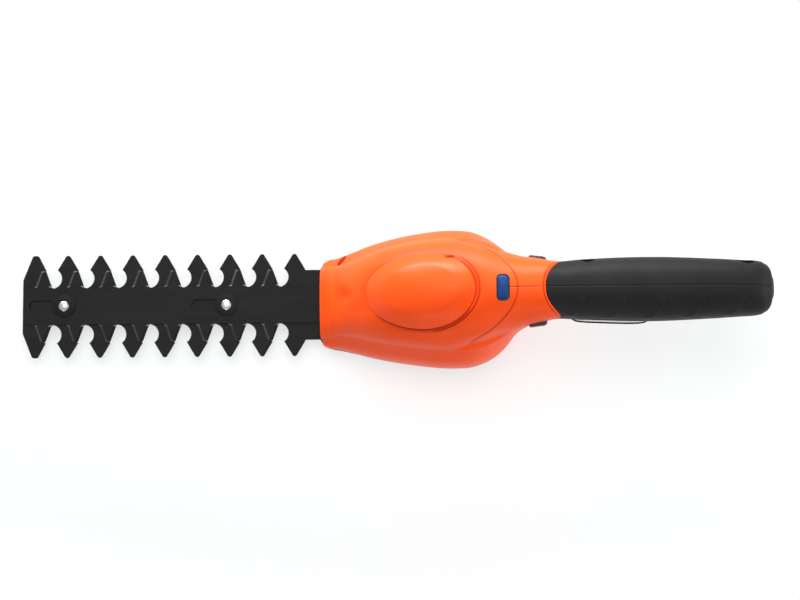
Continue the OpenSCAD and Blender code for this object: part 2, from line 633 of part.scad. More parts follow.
// Screws that draw the half shells together, in the nose, over the motor, over the switch
// and over the charge socket: place, height and seat of the head
nose_screw_back = 13.4;
nose_screw_up = 16.9;
crown_screw_drop = 13.4;
switch_screw_back = 24.5;
switch_screw_up = 30;
tail_screw_lead = 15.5;
tail_screw_up = 29;
nose_seat_share = 0.42;
crown_seat_share = 0.34;
switch_seat_share = 0.564;
tail_seat_share = 0.496;
shell_screws_at = [
    [nose_x + nose_screw_back, sole_t + nose_screw_up, nose_seat_share * half_w],
    [motor_x, head_h - crown_screw_drop, crown_seat_share * half_w],
    [neck_x + switch_screw_back, grip_lift + switch_screw_up, switch_seat_share * grip_half],
    [tail_x - tail_screw_lead, grip_lift + tail_screw_up, tail_seat_share * grip_half]
];
shell_screw_d = 3;
shell_head_d = 5.4;
shell_head_h = 2.2;
shell_bite = 9;
shell_boss_d = 7;
gusset_t = 1.6;
module shell_screws() color(bright) for (p = shell_screws_at)
    translate([p[0], p[2], p[1]]) rotate([-90, 0, 0])
    screw(shell_screw_d, p[2] + shell_bite, shell_head_d, shell_head_h);

// Trigger below the front of the grip
trigger_back = 6.5;
trigger_x = neck_x + trigger_back;
trigger_up = 6;
trigger_z = grip_lift + trigger_up;
trigger_hub_d = 9;
trigger_rise = 0.8;
trigger_drop = 9.5;
trigger_hollow_r = 26;
trigger_swing = 8;
function trigger_outline() = [[-trigger_hub_d / 2, 0], [0, trigger_hub_d / 2 - trigger_rise],
    [trigger_len, trigger_rise - trigger_hub_d / 2], [trigger_len, -trigger_drop],
    [trigger_len - trigger_hub_d / 2, -trigger_drop - trigger_rise], [trigger_hub_d / 2, -trigger_drop],
    [-trigger_hub_d / 2, -trigger_hub_d / 2]];
// Height of the trigger's upper edge over its pin
function trigger_top(arm) = (trigger_hub_d / 2 - trigger_rise) * (1 - 2 * arm / trigger_len);
// The lower corner swings this far back as the trigger is pulled
trigger_sweep = (trigger_drop + trigger_rise) * sin(trigger_swing);
module trigger() color(black) translate([trigger_x, trigger_w / 2, trigger_z]) rotate([90, 0, 0]) difference() {
    union() {
        disc(trigger_hub_d, trigger_w);
        linear_extrude(trigger_w) polygon(trigger_outline());
    }
    translate([trigger_len / 2 + trigger_rise, trigger_rise - trigger_drop - trigger_hollow_r, -cut])
        cylinder(r = trigger_hollow_r, h = trigger_w + 2 * cut);
    translate([0, 0, -cut]) disc(pin_d + 2 * run, trigger_w + 2 * cut);
}
pin_hold = 1.3;
pin_len = trigger_w + 2 * (clear + pin_hold);
module trigger_pin() color(bright) translate([trigger_x, pin_len / 2, trigger_z]) rotate([90, 0, 0])
    disc(pin_d, pin_len);
trigger_spring_d = 6;
spring_wire = 0.7;
trigger_spring_x = trigger_x + trigger_len - trigger_spring_d;
spring_room = 8;
trigger_spring_z = trigger_z + clear
    + trigger_top(trigger_spring_x - trigger_x - trigger_spring_d / 2);
spring_stop_z = trigger_z + spring_room;
module trigger_spring() color(bright) translate([trigger_spring_x, 0, trigger_spring_z])
    ring(trigger_spring_d, trigger_spring_d - 2 * spring_wire, spring_stop_z - trigger_spring_z - clear);

// Micro switch over the front of the trigger
plunger_arm = 8;
plunger_d = 2.4;
plunger_h = 2.2;
switch_len = 20;
switch_w = 6.4;
switch_h = 10;
plunger_x = trigger_x + plunger_arm;
plunger_z = trigger_z + trigger_top(plunger_arm - plunger_d / 2) + clear;
switch_z = plunger_z + plunger_h;
plunger_hole = 3;
module micro_switch() color([0.12, 0.12, 0.13]) difference() {
    translate([plunger_x - switch_len / 4, -switch_w / 2, switch_z]) cube([switch_len, switch_w, switch_h]);
    translate([plunger_x, 0, switch_z - cut]) disc(plunger_d + 2 * run, plunger_hole + cut);
}
module switch_plunger() color([0.8, 0.2, 0.15]) translate([plunger_x, 0, plunger_z])
    disc(plunger_d, plunger_h + plunger_hole / 2);

// Lock buttons on both sides of the neck
lock_share = 0.98;
lock_x = nose_x + lock_share * head_len;
lock_z = section(lock_x)[2];
lock_proud = 3;
lock_flange = 1.2;
lock_flange_t = 1.6;
lock_corner = 2;
lock_outer = section(lock_x)[3] + lock_proud;
lock_stop = 1.4;
// Length of a lock spring pressed flat
lock_spring_solid = 5;
lock_inner = lock_stop + lock_travel + lock_spring_solid;
lock_depth = lock_outer - lock_inner;
lock_spring_d = 5;
module lock_button(side) color(black) translate([lock_x, 0, lock_z]) rotate([side * -90, 0, 0]) {
    translate([0, 0, lock_inner]) linear_extrude(lock_depth) rounded(lock_len, lock_h, lock_corner);
    translate([0, 0, lock_inner]) linear_extrude(lock_flange_t)
        rounded(lock_len + 2 * lock_flange, lock_h + 2 * lock_flange, lock_corner);
}
module lock_spring(side) color(bright) translate([lock_x, 0, lock_z]) rotate([side * -90, 0, 0])
    translate([0, 0, lock_stop + clear])
    ring(lock_spring_d, lock_spring_d - 2 * spring_wire, lock_inner - lock_stop - 2 * clear);
module left_lock_button() lock_button(-1);
module right_lock_button() lock_button(1);
module left_lock_spring() lock_spring(-1);
module right_lock_spring() lock_spring(1);

// Top button in its bezel behind the pad, on a small board
button_share = 0.817;
button_x = nose_x + button_share * head_len;
button_crown_r = 21;
button_proud = 0.6;
button_depth = 9;
button_corner = 2;
bezel_w = 1.2;
bezel_depth = 3.4;
board_t = 1.6;
button_top = section(button_x)[6] + button_proud;
// Length of the button's spring pressed flat, with the board under it
button_spring_solid = 4.2;
button_room = button_travel + button_spring_solid;
button_board_z = button_top - button_depth - button_room;
button_spring_d = 5;
button_board_len = 14;
button_board_w = 20;
module crowned(top) intersection() {
    children();
    translate([button_x - room / 2, 0, top - button_crown_r]) rotate([0, 90, 0])
        cylinder(r = button_crown_r, h = room);
}
module top_button() color([0.05, 0.25, 0.6]) crowned(button_top)
    translate([button_x, 0, button_top - button_depth]) linear_extrude(button_depth)
    rounded(button_len, button_w, button_corner);
module button_bezel() color(black) crowned(button_top - button_proud + skin_gap)
    translate([button_x, 0, button_top - bezel_depth - button_proud]) linear_extrude(bezel_depth + cut)
    difference() {
        rounded(button_len + 2 * bezel_w, button_w + 2 * bezel_w, button_corner + bezel_w);
        rounded(button_len + 2 * clear, button_w + 2 * clear, button_corner + clear);
    }
module button_spring() color(bright) translate([button_x, 0, button_board_z + board_t + skin_gap])
    ring(button_spring_d, button_spring_d - 2 * spring_wire,
        button_top - button_depth - button_board_z - board_t - clear);
module button_board() color([0.1, 0.4, 0.2])
    translate([button_x - button_board_len / 2, -button_board_w / 2, button_board_z])
    cube([button_board_len, button_board_w, board_t]);

// Oval pad on the dome
pad_from_share = 0.222;
pad_to_share = 0.724;
pad_half_share = 0.51;
pad_egg_share = 0.1;
pad_rise = 0.9;
pad_sink = 1.1;
pad_rings = 5;
pad_sides = 40;
pad_mid = nose_x + head_len * (pad_from_share + pad_to_share) / 2;
pad_half_len = head_len * (pad_to_share - pad_from_share) / 2;
pad_half_w = pad_half_share * half_w;
function pad_point(a, q) = [pad_mid + pad_half_len * q * cos(a),
    pad_half_w * q * sin(a) * (1 + pad_egg_share * cos(a))];
module pad_body(grow, rise, sink) {
    n = pad_sides;
    qs = [for (k = [1:pad_rings]) k / pad_rings * (1 + (k == pad_rings ? grow / pad_half_w : 0))];
    top = [for (q = qs, i = [0:n - 1]) let (p = pad_point(360 * i / n, q))
        [p[0], p[1], dome_z(p[0], p[1]) + rise * (1 - pow(min(q, 1), 6)) + grow]];
    low = [for (q = qs, i = [0:n - 1]) let (p = pad_point(360 * i / n, q))
        [p[0], p[1], dome_z(p[0], p[1]) - sink - grow]];
    m = pad_rings * n;
    points = concat(top, low, [[pad_mid, 0, dome_z(pad_mid, 0) + rise + grow],
        [pad_mid, 0, dome_z(pad_mid, 0) - sink - grow]]);
    faces = concat(
        [for (i = [0:n - 1]) let (j = (i + 1) % n) each [[2 * m, j, i], [2 * m + 1, m + i, m + j]]],
        [for (k = [0:pad_rings - 2], i = [0:n - 1]) let (j = (i + 1) % n, a = k * n, b = a + n)
            each [[a + i, a + j, b + i], [a + j, b + j, b + i],
                [m + a + i, m + b + i, m + a + j], [m + a + j, m + b + i, m + b + j]]],
        [for (i = [0:n - 1]) let (j = (i + 1) % n, a = (pad_rings - 1) * n)
            each [[a + i, a + j, m + a + i], [a + j, m + a + j, m + a + i]]]
    );
    polyhedron(points, faces);
}
module top_pad() color([1, 0.4, 0.15]) pad_body(0, pad_rise, pad_sink);

// Battery cell with its holder, tabs, board and socket in the grip
cell_back = 41.5;
cell_x = neck_x + cell_back;
cell_len = tail_x - cell_x - cell_rear;
cell_up = 26;
cell_z = grip_lift + cell_up;
holder_wall = 1.4;
holder_end = 1.2;
holder_drop = 3;
tab_t = 0.4;
tab_gap = 0.1;
module along_x(d, l) rotate([0, 90, 0]) cylinder(d = d, h = l);
module battery_cell() color([0.15, 0.35, 0.6]) translate([cell_x, 0, cell_z]) along_x(cell_d, cell_len);
holder_z = cell_z - cell_d / 2 - holder_drop;
holder_half = cell_d / 2 + holder_wall;
holder_from = cell_x - tab_t - tab_gap - holder_end;
holder_len = cell_len + 2 * (tab_t + tab_gap + holder_end);
module cell_holder() color([0.2, 0.2, 0.22]) difference() {
    translate([holder_from, -holder_half, holder_z]) cube([holder_len, 2 * holder_half, cell_z - holder_z]);
    translate([cell_x - tab_t - tab_gap, 0, cell_z])
        along_x(cell_d + 2 * skin_gap, cell_len + 2 * (tab_t + tab_gap));
}
tab_w = 7;
module cell_tabs() color(bright) for (x = [cell_x - tab_t - tab_gap / 2, cell_x + cell_len + tab_gap / 2])
    translate([x, -tab_w / 2, cell_z - tab_w / 2]) cube([tab_t, tab_w, tab_w]);
board_inset = 5.5;
board_len = cell_len - 2 * board_inset;
board_w = 19;
module control_board() color([0.1, 0.4, 0.2])
    translate([cell_x + board_inset, -board_w / 2, holder_z - board_t])
    cube([board_len, board_w, board_t]);
socket_body_d = 10;
socket_len = 14;
socket_inset = 1.2;
socket_depth = 9;
socket_up = 20;
plug_room = 0.8;
socket_z = grip_lift + socket_up;
module charge_socket() color(black) translate([tail_x - socket_inset - socket_len, 0, socket_z]) difference() {
    along_x(socket_body_d, socket_len);
    translate([socket_len - socket_depth, 0, 0]) along_x(socket_d, socket_depth + cut);
}

// Leads from the motor's terminals over the neck to the switch
lead_d = 1.6;
lead_sides = 8;
lead_y = 3;
lead_rise = 3.5;
lead_clear = 2.4;
function lead_route(s) = let (z = motor_top + terminal_h - motor_cap_h / 2, low = z + lead_rise,
    top = lock_z + lock_h / 2 + lock_flange + lead_clear, over = switch_z + switch_h + lead_clear,
    x = plunger_x + (s > 0 ? 0 : switch_len / 4), y = s * lead_y)
    [[motor_x, s * terminal_y, z + clear], [motor_x, s * terminal_y, low - lead_d],
    [motor_x + lead_d, s * terminal_y, low], [button_x - button_board_len, y, low],
    [button_x + button_board_len / 2, y, low], [lock_x - lock_len, y, top], [lock_x + lock_len / 2, y, top],
    [x - lead_rise, y, over], [x - lead_d / 2, y, over - lead_d / 2], [x, y, switch_z + switch_h + skin_gap]];
function unit(v) = v / norm(v);
module lead(s) {
    path = lead_route(s);
    e = len(path) - 1;
    loft([for (i = [0:e]) let (t = unit(path[min(i + 1, e)] - path[max(i - 1, 0)]),
        u = unit(cross(t, [0, 1, 0])), v = cross(t, u))
        [for (k = [0:lead_sides - 1]) let (a = 360 * k / lead_sides)
            path[i] + lead_d / 2 * (cos(a) * u + sin(a) * v)]]);
}
module motor_leads() color([0.6, 0.1, 0.1]) for (s = [-1, 1]) lead(s);

// Half shell with its ribs and bosses, open where the sole, pad, grip and controls sit
sole_boss_d = 6.4;
sole_boss_h = 14;
rib_t = 2;
clamp_h = 3;
slot_over = 0.5;
module bosses(side) {
    for (p = shell_screws_at) {
        translate([p[0], 0, p[1]]) rotate([side * -90, 0, 0])
            cylinder(d = shell_boss_d, h = half_w, $fn = shell_fn);
        for (e = [-1, 1]) hull() for (y = [shell_boss_d / 2, half_w])
            translate([p[0] + e * (y < half_w ? 0 : shell_boss_d), side * y, p[1]])
            cube([gusset_t, gusset_t, gusset_t], center = true);
    }
    for (p = sole_screws_at) {
        translate([p[0], side * p[1], sole_t + skin_gap])
            cylinder(d = sole_boss_d, h = sole_boss_h, $fn = shell_fn);
        hull() for (y = [p[1], half_w]) translate([p[0], side * y, sole_t + sole_boss_h / 2])
            cube([gusset_t, gusset_t, sole_boss_h - 2 * gusset_t], center = true);
    }
}
module ribs(side) {
    // Clamp that steadies the motor
    translate([motor_x - motor_d / 4, side > 0 ? motor_d / 2 + clear : -half_w, motor_top - motor_len / 2])
        cube([motor_d / 2, half_w - motor_d / 2 - clear, clamp_h]);
    // Shelf under the button board
    translate([button_x - button_board_len / 2, side > 0 ? button_board_w / 4 : -half_w,
        button_board_z - clamp_h - skin_gap / 2])
        cube([button_board_len, half_w - button_board_w / 4, clamp_h]);
    // Web that the lock button's spring bears on
    translate([lock_x - lock_h / 2, side > 0 ? 0 : -lock_stop, grip_lift])
        cube([lock_h, lock_stop, grip_h]);
    // Stop over the trigger's spring
    translate([trigger_spring_x - trigger_spring_d / 2, side > 0 ? 0 : -grip_half, spring_stop_z])
        cube([trigger_spring_d, grip_half, rib_t]);
    // Cheeks that carry the trigger's pin
    translate([trigger_x - trigger_hub_d / 2, side > 0 ? trigger_w / 2 + clear : -grip_half,
        trigger_z - trigger_hub_d / 2]) cube([trigger_hub_d, grip_half - trigger_w / 2 - clear, trigger_hub_d]);
    // Walls that hold the switch
    translate([plunger_x - switch_len / 4, side > 0 ? switch_w / 2 + seat : -grip_half, switch_z])
        cube([rib_t, grip_half - switch_w / 2 - seat, switch_h]);
    translate([plunger_x + switch_len / 4, side > 0 ? switch_w / 2 + seat : -grip_half, switch_z])
        cube([rib_t, grip_half - switch_w / 2 - seat, switch_h]);
    // Cross walls under the cell holder
    for (x = [holder_from, holder_from + holder_len - rib_t])
        translate([x, side > 0 ? 0 : -grip_half, grip_lift])
        cube([rib_t, grip_half, holder_z - grip_lift - seat]);
    // Seat of the charge socket
    translate([tail_x - socket_inset - socket_len, side > 0 ? 0 : -grip_half, grip_lift])
        cube([rib_t, grip_half, socket_z + socket_body_d / 2 - grip_lift]);
}
// Room for the trigger in the shells and the grip
module trigger_mouth() translate([trigger_x - trigger_hub_d / 2 - clear, -trigger_w / 2 - clear, 0])
    cube([trigger_len + trigger_sweep + trigger_hub_d / 2 + 2 * clear, trigger_w + 2 * clear,
        trigger_z + trigger_hub_d / 2]);
// Room for the charge socket and its plug
module socket_room() translate([tail_x - socket_inset - socket_len - cut, 0, socket_z]) {
    along_x(socket_body_d + 2 * skin_gap, socket_len + cut + skin_gap);
    along_x(socket_d + 2 * plug_room, room);
}
module openings(side) {
    $fn = shell_fn;
    // Everything below the top of the sole
    translate([nose_x - room, -room, sole_t + skin_gap - room])
        cube([room + sole_x - nose_x + skin_gap, 2 * room, room]);
    // Blade slot in the nose
    translate([nose_x - cut, -shank_w / 2 - clear - skin_gap, 0])
        cube([2 * wall + cut, shank_w + 2 * (clear + skin_gap), cutter_z + blade_t + slot_over]);
    // Pad seat, grip seat and trigger mouth
    pad_body(skin_gap, pad_rise + cut, pad_sink);
    skin(grip_grid(skin_gap), -rib_d, skin_t + skin_gap, side);
    trigger_mouth();
    // Pin, charge socket, top button and lock button
    translate([trigger_x, pin_len / 2 + seat, trigger_z]) rotate([90, 0, 0])
        cylinder(d = pin_d + 2 * skin_gap, h = pin_len + 2 * seat);
    socket_room();
    translate([button_x, 0, button_top - 2 * bezel_depth]) linear_extrude(room)
        rounded(button_len + 2 * (bezel_w + skin_gap), button_w + 2 * (bezel_w + skin_gap),
            button_corner + bezel_w);
    translate([lock_x, 0, lock_z]) rotate([side * -90, 0, 0]) {
        translate([0, 0, lock_stop]) linear_extrude(room)
            rounded(lock_len + 2 * clear, lock_h + 2 * clear, lock_corner);
        translate([0, 0, lock_stop]) linear_extrude(lock_inner + lock_flange_t + clear - lock_stop)
            rounded(lock_len + 2 * (lock_flange + clear), lock_h + 2 * (lock_flange + clear), lock_corner);
    }
    // Screw holes: clear on the right with room for the head, tight on the left
    for (p = shell_screws_at) translate([p[0], 0, p[1]]) rotate([side * -90, 0, 0]) {
        translate([0, 0, -cut]) cylinder(d = shell_screw_d + 2 * (side > 0 ? clear : seat),
            h = cut + (side > 0 ? half_w : shell_bite + seat));
        if (side > 0) translate([0, 0, p[2]]) cylinder(d = shell_head_d + 2 * clear, h = room);
    }
    for (p = sole_screws_at) translate([p[0], side * p[1], 0])
        cylinder(d = sole_screw_d + 2 * skin_gap, h = sole_head_z + sole_screw_len + seat);
}
module half_shell(side) color(orange) difference() {
    union() {
        difference() {
            side_of(side) envelope();
            inside();
        }
        intersection() {
            side_of(side) envelope();
            union() {
                bosses(side);
                ribs(side);
            }
        }
    }
    openings(side);
}
module left_shell() half_shell(-1);
module right_shell() half_shell(1);

// Soft grip skins with slanting ribs
rib_first_share = 0.121;
rib_step_share = 0.172;
rib_lean = 9;
rib_low_share = 0.6;
rib_high_share = 0.92;
rib_links = 3;
function rib_point(i, u) = let (t = rib_low_share + (rib_high_share - rib_low_share) * u,
    x = neck_x + (rib_first_share + i * rib_step_share) * grip_len + rib_lean * u)
    concat([x], rim(x, t, skin_t - rib_d / 2));
module grip_skin(side) color(black) difference() {
    union() {
        skin(grip_grid(0), 0, skin_t, side);
        for (i = [0:rib_count - 1], k = [0:rib_links - 1]) hull() for (u = [k, k + 1])
            let (p = rib_point(i, u / rib_links)) translate([p[0], side * p[1], p[2]])
            sphere(d = rib_d, $fn = rib_fn);
    }
    trigger_mouth();
    if (side > 0) for (p = shell_screws_at) translate([p[0], p[2], p[1]]) rotate([-90, 0, 0])
        cylinder(d = shell_head_d + 2 * clear, h = room);
    socket_room();
}
module left_grip() grip_skin(-1);
module right_grip() grip_skin(1);

// Bare plate on the left-hand side of the grip
label_from_share = 0.125;
label_to_share = 0.46;
label_low_share = 0.29;
label_high_share = 0.42;
label_t = 0.4;
label_cols = 8;
label_rows = 3;
label_grid = [for (i = [0:label_cols]) [for (k = [0:label_rows])
    [neck_x + grip_len * (label_from_share + (label_to_share - label_from_share) * i / label_cols),
    label_low_share + (label_high_share - label_low_share) * k / label_rows]]];
module label_plate() color([0.93, 0.93, 0.92])
    skin(label_grid, -skin_gap - label_t, -skin_gap, -1);

guard_blade();
cutter_blade();
blade_rivets();
rivet_washers();
sole_plate();
guard_screws();
sole_screws();
crank_disc();
crank_roller();
drive_shaft();
drive_gear();
lower_bush();
upper_bush();
idler_gear();
idler_axle();
gearbox_plate();
gearbox_housing();
gearbox_screws();
motor_can();
motor_cap();
motor_terminals();
motor_shaft();
motor_pinion();
motor_screws();
shell_screws();
trigger();
trigger_pin();
trigger_spring();
micro_switch();
switch_plunger();
left_lock_button();
right_lock_button();
left_lock_spring();
right_lock_spring();
top_button();
button_bezel();
button_spring();
button_board();
top_pad();
battery_cell();
cell_holder();
cell_tabs();
control_board();
charge_socket();
motor_leads();
label_plate();
left_shell();
right_shell();
left_grip();
right_grip();
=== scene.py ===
"""Looks of the cordless grass shears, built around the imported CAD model.

Sizes are in millimetres in the CAD model's frame: blade tip to -X, grip to +X, table at Z = 0.
"""

import math

import bmesh
import bpy
import numpy as np
from mathutils import Matrix, Vector

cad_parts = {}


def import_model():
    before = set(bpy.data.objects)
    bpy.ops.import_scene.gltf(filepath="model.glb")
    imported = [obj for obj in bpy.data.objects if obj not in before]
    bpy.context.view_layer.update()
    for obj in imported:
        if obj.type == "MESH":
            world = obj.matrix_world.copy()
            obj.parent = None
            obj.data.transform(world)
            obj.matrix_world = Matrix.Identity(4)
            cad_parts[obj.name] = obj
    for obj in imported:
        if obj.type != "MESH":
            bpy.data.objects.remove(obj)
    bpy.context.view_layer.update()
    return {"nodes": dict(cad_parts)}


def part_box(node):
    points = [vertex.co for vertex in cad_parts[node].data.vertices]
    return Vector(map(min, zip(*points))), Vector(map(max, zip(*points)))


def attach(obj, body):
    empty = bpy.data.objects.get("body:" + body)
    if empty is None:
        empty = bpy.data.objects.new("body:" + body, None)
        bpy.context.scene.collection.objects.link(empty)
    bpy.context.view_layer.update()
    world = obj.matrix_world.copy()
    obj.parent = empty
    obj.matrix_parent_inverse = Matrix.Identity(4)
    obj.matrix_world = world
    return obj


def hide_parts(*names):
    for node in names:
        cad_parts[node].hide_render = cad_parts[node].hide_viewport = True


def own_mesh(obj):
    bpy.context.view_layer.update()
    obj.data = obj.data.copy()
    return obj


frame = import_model()

# Metres in a millimetre, a quarter turn, the least divisor, and how near counts as on the centre plane
MM = 0.001
QUARTER = np.radians(90)
TINY = 1e-9
ON_PLANE = 1e-6


def box_mm(node):
    """Lowest and highest corner of a CAD node in millimetres."""
    low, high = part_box(node)
    return np.array(low) / MM, np.array(high) / MM


# Places that follow the CAD model
SHELL_LOW, SHELL_HIGH = box_mm("left_shell")
GUARD_LOW, GUARD_HIGH = box_mm("guard_blade")
CUTTER_LOW, CUTTER_HIGH = box_mm("cutter_blade")
RIVET_LOW, RIVET_HIGH = box_mm("blade_rivets")
WASHER_LOW, WASHER_HIGH = box_mm("rivet_washers")
TRIGGER_LOW, TRIGGER_HIGH = box_mm("trigger")
LOCK_LOW, LOCK_HIGH = box_mm("right_lock_button")
BUTTON_LOW, BUTTON_HIGH = box_mm("top_button")
BEZEL_LOW, BEZEL_HIGH = box_mm("button_bezel")
PIN_LOW, PIN_HIGH = box_mm("trigger_pin")
SOCKET_LOW, SOCKET_HIGH = box_mm("charge_socket")
SOLE_X, _, SOLE_T = box_mm("sole_plate")[1]
NECK_X = box_mm("left_grip")[0][0]
NOSE_X, TAIL_X, HALF_W = SHELL_LOW[0], SHELL_HIGH[0], -SHELL_LOW[1]
HEAD_LEN = NECK_X - NOSE_X
GRIP_LEN = TAIL_X - NECK_X

# Height of the head; lift, height and half width of the grip; walls of shell and grip, and the gap between
HEAD_H = 96.0
GRIP_LIFT = 54.0
GRIP_H = 43.5
GRIP_HALF = 18.0
WALL = 2.2
SKIN_T = 1.5
SKIN_GAP = 0.1

# Head sections in shares of the head's length, height and half width:
# place, underside height, skirt height and half width, crease height and half width, top height
HEAD_SHARES = np.array([
    [0, 0, 0.135, 0.53, 0.19, 0.48, 0.25],
    [0.01, 0, 0.14, 0.58, 0.195, 0.49, 0.28],
    [0.027, 0, 0.155, 0.62, 0.215, 0.5, 0.32],
    [0.062, 0, 0.19, 0.66, 0.26, 0.507, 0.395],
    [0.1, 0, 0.23, 0.69, 0.32, 0.515, 0.48],
    [0.156, 0, 0.28, 0.744, 0.405, 0.545, 0.595],
    [0.233, 0, 0.345, 0.82, 0.5, 0.615, 0.73],
    [0.327, 0, 0.4, 0.89, 0.568, 0.69, 0.835],
    [0.428, 0, 0.437, 0.946, 0.61, 0.745, 0.905],
    [0.545, 0, 0.458, 0.993, 0.625, 0.783, 0.948],
    [0.638, 0, 0.455, 1, 0.635, 0.783, 0.968],
    [0.7, 0.003, 0.43, 0.982, 0.64, 0.765, 0.977],
    [0.763, 0.015, 0.385, 0.912, 0.65, 0.712, 0.982],
    [0.81, 0.045, 0.345, 0.826, 0.66, 0.64, 0.985],
    [0.856, 0.105, 0.34, 0.695, 0.68, 0.565, 0.988],
    [0.903, 0.23, 0.43, 0.51, 0.71, 0.505, 0.991],
    [0.95, 0.42, 0.67, 0.455, 0.75, 0.47, 0.995],
])
# Grip sections in shares of the grip's length, height above its underside and half width, same columns
GRIP_SHARES = np.array([
    [0, -0.045, 0.483, 0.978, 0.517, 0.97, 0.975],
    [0.066, 0.01, 0.53, 0.894, 0.55, 0.89, 0.984],
    [0.167, 0, 0.552, 0.939, 0.575, 0.935, 0.993],
    [0.33, -0.01, 0.552, 0.989, 0.575, 0.985, 1],
    [0.44, -0.01, 0.552, 1, 0.575, 0.996, 1],
    [0.554, 0, 0.552, 0.989, 0.575, 0.985, 1],
    [0.75, 0.035, 0.552, 0.928, 0.575, 0.924, 0.988],
    [0.856, 0.07, 0.552, 0.883, 0.575, 0.879, 0.965],
    [0.926, 0.115, 0.552, 0.855, 0.575, 0.851, 0.926],
    [0.964, 0.17, 0.552, 0.783, 0.575, 0.779, 0.86],
    [0.988, 0.265, 0.552, 0.62, 0.575, 0.616, 0.78],
    [1, 0.39, 0.552, 0.333, 0.575, 0.33, 0.68],
])
HEAD_SCALE = np.array([HEAD_LEN, HEAD_H, HEAD_H, HALF_W, HEAD_H, HALF_W, HEAD_H])
GRIP_SCALE = np.array([GRIP_LEN, GRIP_H, GRIP_H, GRIP_HALF, GRIP_H, GRIP_HALF, GRIP_H])
HEAD_START = np.array([NOSE_X, 0, 0, 0, 0, 0, 0])
GRIP_START = np.array([NECK_X, GRIP_LIFT, GRIP_LIFT, 0, GRIP_LIFT, 0, GRIP_LIFT])
STATIONS = np.vstack([HEAD_SHARES * HEAD_SCALE + HEAD_START, GRIP_SHARES * GRIP_SCALE + GRIP_START])
# Roundness of the section below the skirt and above the crease, on the head and on the grip
HEAD_POWERS = (4.0, 1.9)
GRIP_POWERS = (2.3, 2.2)
# Share of the head's length from which its roundness turns into the grip's
BLEND_SHARE = 0.76
# Skirt and crease on the way round a section, which goes from 0 below to 1 on top
SKIRT = 0.42
CREASE = 0.5


def eased(value, start, run):
    """Eased step from 0 to 1 that begins at a start and takes a run."""
    v = np.clip((value - start) / run, 0, 1)
    return v * v * (3 - 2 * v)


def bump_line(distance, half_width):
    """Soft profile of a line: 1 on it, falling to 0 beside it."""
    return np.exp(-(distance / half_width) ** 2)


def arc(share, power):
    """Round fall from 1 to 0 along a share from 0 to 1."""
    return (1 - np.clip(share, 0, 1) ** power) ** (1 / power)


def section(x):
    """Smooth curve through the station table at each x."""
    knots = STATIONS[:, 0]
    count = len(knots)
    before = np.clip(np.arange(count) - 1, 0, count - 1)
    after = np.clip(np.arange(count) + 1, 0, count - 1)
    slopes = (STATIONS[after] - STATIONS[before]) / (knots[after] - knots[before])[:, None]
    i = np.clip(np.searchsorted(knots, x, side="right") - 1, 0, count - 2)
    length = (knots[i + 1] - knots[i])[..., None]
    u = (x - knots[i])[..., None] / length
    start = STATIONS[i] * (1 + 2 * u) * (1 - u) ** 2 + slopes[i] * length * u * (1 - u) ** 2
    end = STATIONS[i + 1] * u * u * (3 - 2 * u) + slopes[i + 1] * length * u * u * (u - 1)
    return start + end


def columns(x):
    """Underside, skirt height and half width, crease height and half width, and top at each x."""
    return np.moveaxis(section(np.asarray(x, float)), -1, 0)[1:]


def powers(x):
    """Roundness of the section below and above at each x."""
    share = eased(x, NOSE_X + BLEND_SHARE * HEAD_LEN, HEAD_LEN * (1 - BLEND_SHARE))
    return [head + (grip - head) * share for head, grip in zip(HEAD_POWERS, GRIP_POWERS)]


def rim(x, t, depth=0.0):
    """Half width and height of the outer surface on the way t round it, set in by some depth."""
    x, t = np.broadcast_arrays(np.asarray(x, float), np.asarray(t, float))
    under, skirt_z, skirt, crease_z, crease, crown = columns(x)
    under, skirt, crease, crown = under + depth, skirt - depth, crease - depth, crown - depth
    low, top = powers(x)
    a = QUARTER * (1 - np.clip(t / SKIRT, 0, 1))
    b = QUARTER * np.clip((t - CREASE) / (1 - CREASE), 0, 1)
    u = np.clip((t - SKIRT) / (CREASE - SKIRT), 0, 1)
    cos_b = np.clip(np.cos(b), 0, 1)
    y = np.where(t <= SKIRT, skirt * np.cos(a) ** (2 / low),
                 np.where(t <= CREASE, skirt + (crease - skirt) * u, crease * cos_b ** (2 / top)))
    z = np.where(t <= SKIRT, skirt_z - (skirt_z - under) * np.sin(a) ** (2 / low),
                 np.where(t <= CREASE, skirt_z + (crease_z - skirt_z) * u,
                          crease_z + (crown - crease_z) * np.sin(b) ** (2 / top)))
    return np.where(t >= 1, 0, y), z


def dome_z(x, y):
    """Height of the dome over points of the plan."""
    crease_z, crease, crown = columns(x)[3:]
    return crease_z + (crown - crease_z) * arc(np.abs(y) / crease, powers(x)[1])


def side_y(x, z):
    """Half width of the outer surface at a place and height."""
    under, skirt_z, skirt, crease_z, crease, crown = columns(x)
    low, top = powers(x)
    above = crease * arc((z - crease_z) / (crown - crease_z), top)
    below = skirt * arc((skirt_z - z) / (skirt_z - under), low)
    between = skirt + (crease - skirt) * np.clip((z - skirt_z) / (crease_z - skirt_z), 0, 1)
    return np.where(z > crease_z, above, np.where(z < skirt_z, below, between))


# Meshes

# Corners: longest share of an edge that one takes, and its steps; then the steps of a rounded edge
CORNER_SHARE = 0.45
CORNER_STEPS = 5
EDGE_STEPS = 4
# Sides of a hole and of a turned part, and the angle in degrees from which an edge looks sharp
CIRCLE_SIDES = 40
LATHE_SIDES = 56
SHARP = 35


def linked(name, data):
    """New object with its data in the scene."""
    obj = bpy.data.objects.new(name, data)
    bpy.context.scene.collection.objects.link(obj)
    return obj


def new_object(name, points, faces):
    """Mesh object from points in millimetres."""
    mesh = bpy.data.meshes.new(name)
    mesh.from_pydata((np.asarray(points, float) * MM).tolist(), [], [[int(k) for k in f] for f in faces])
    return linked(name, mesh)


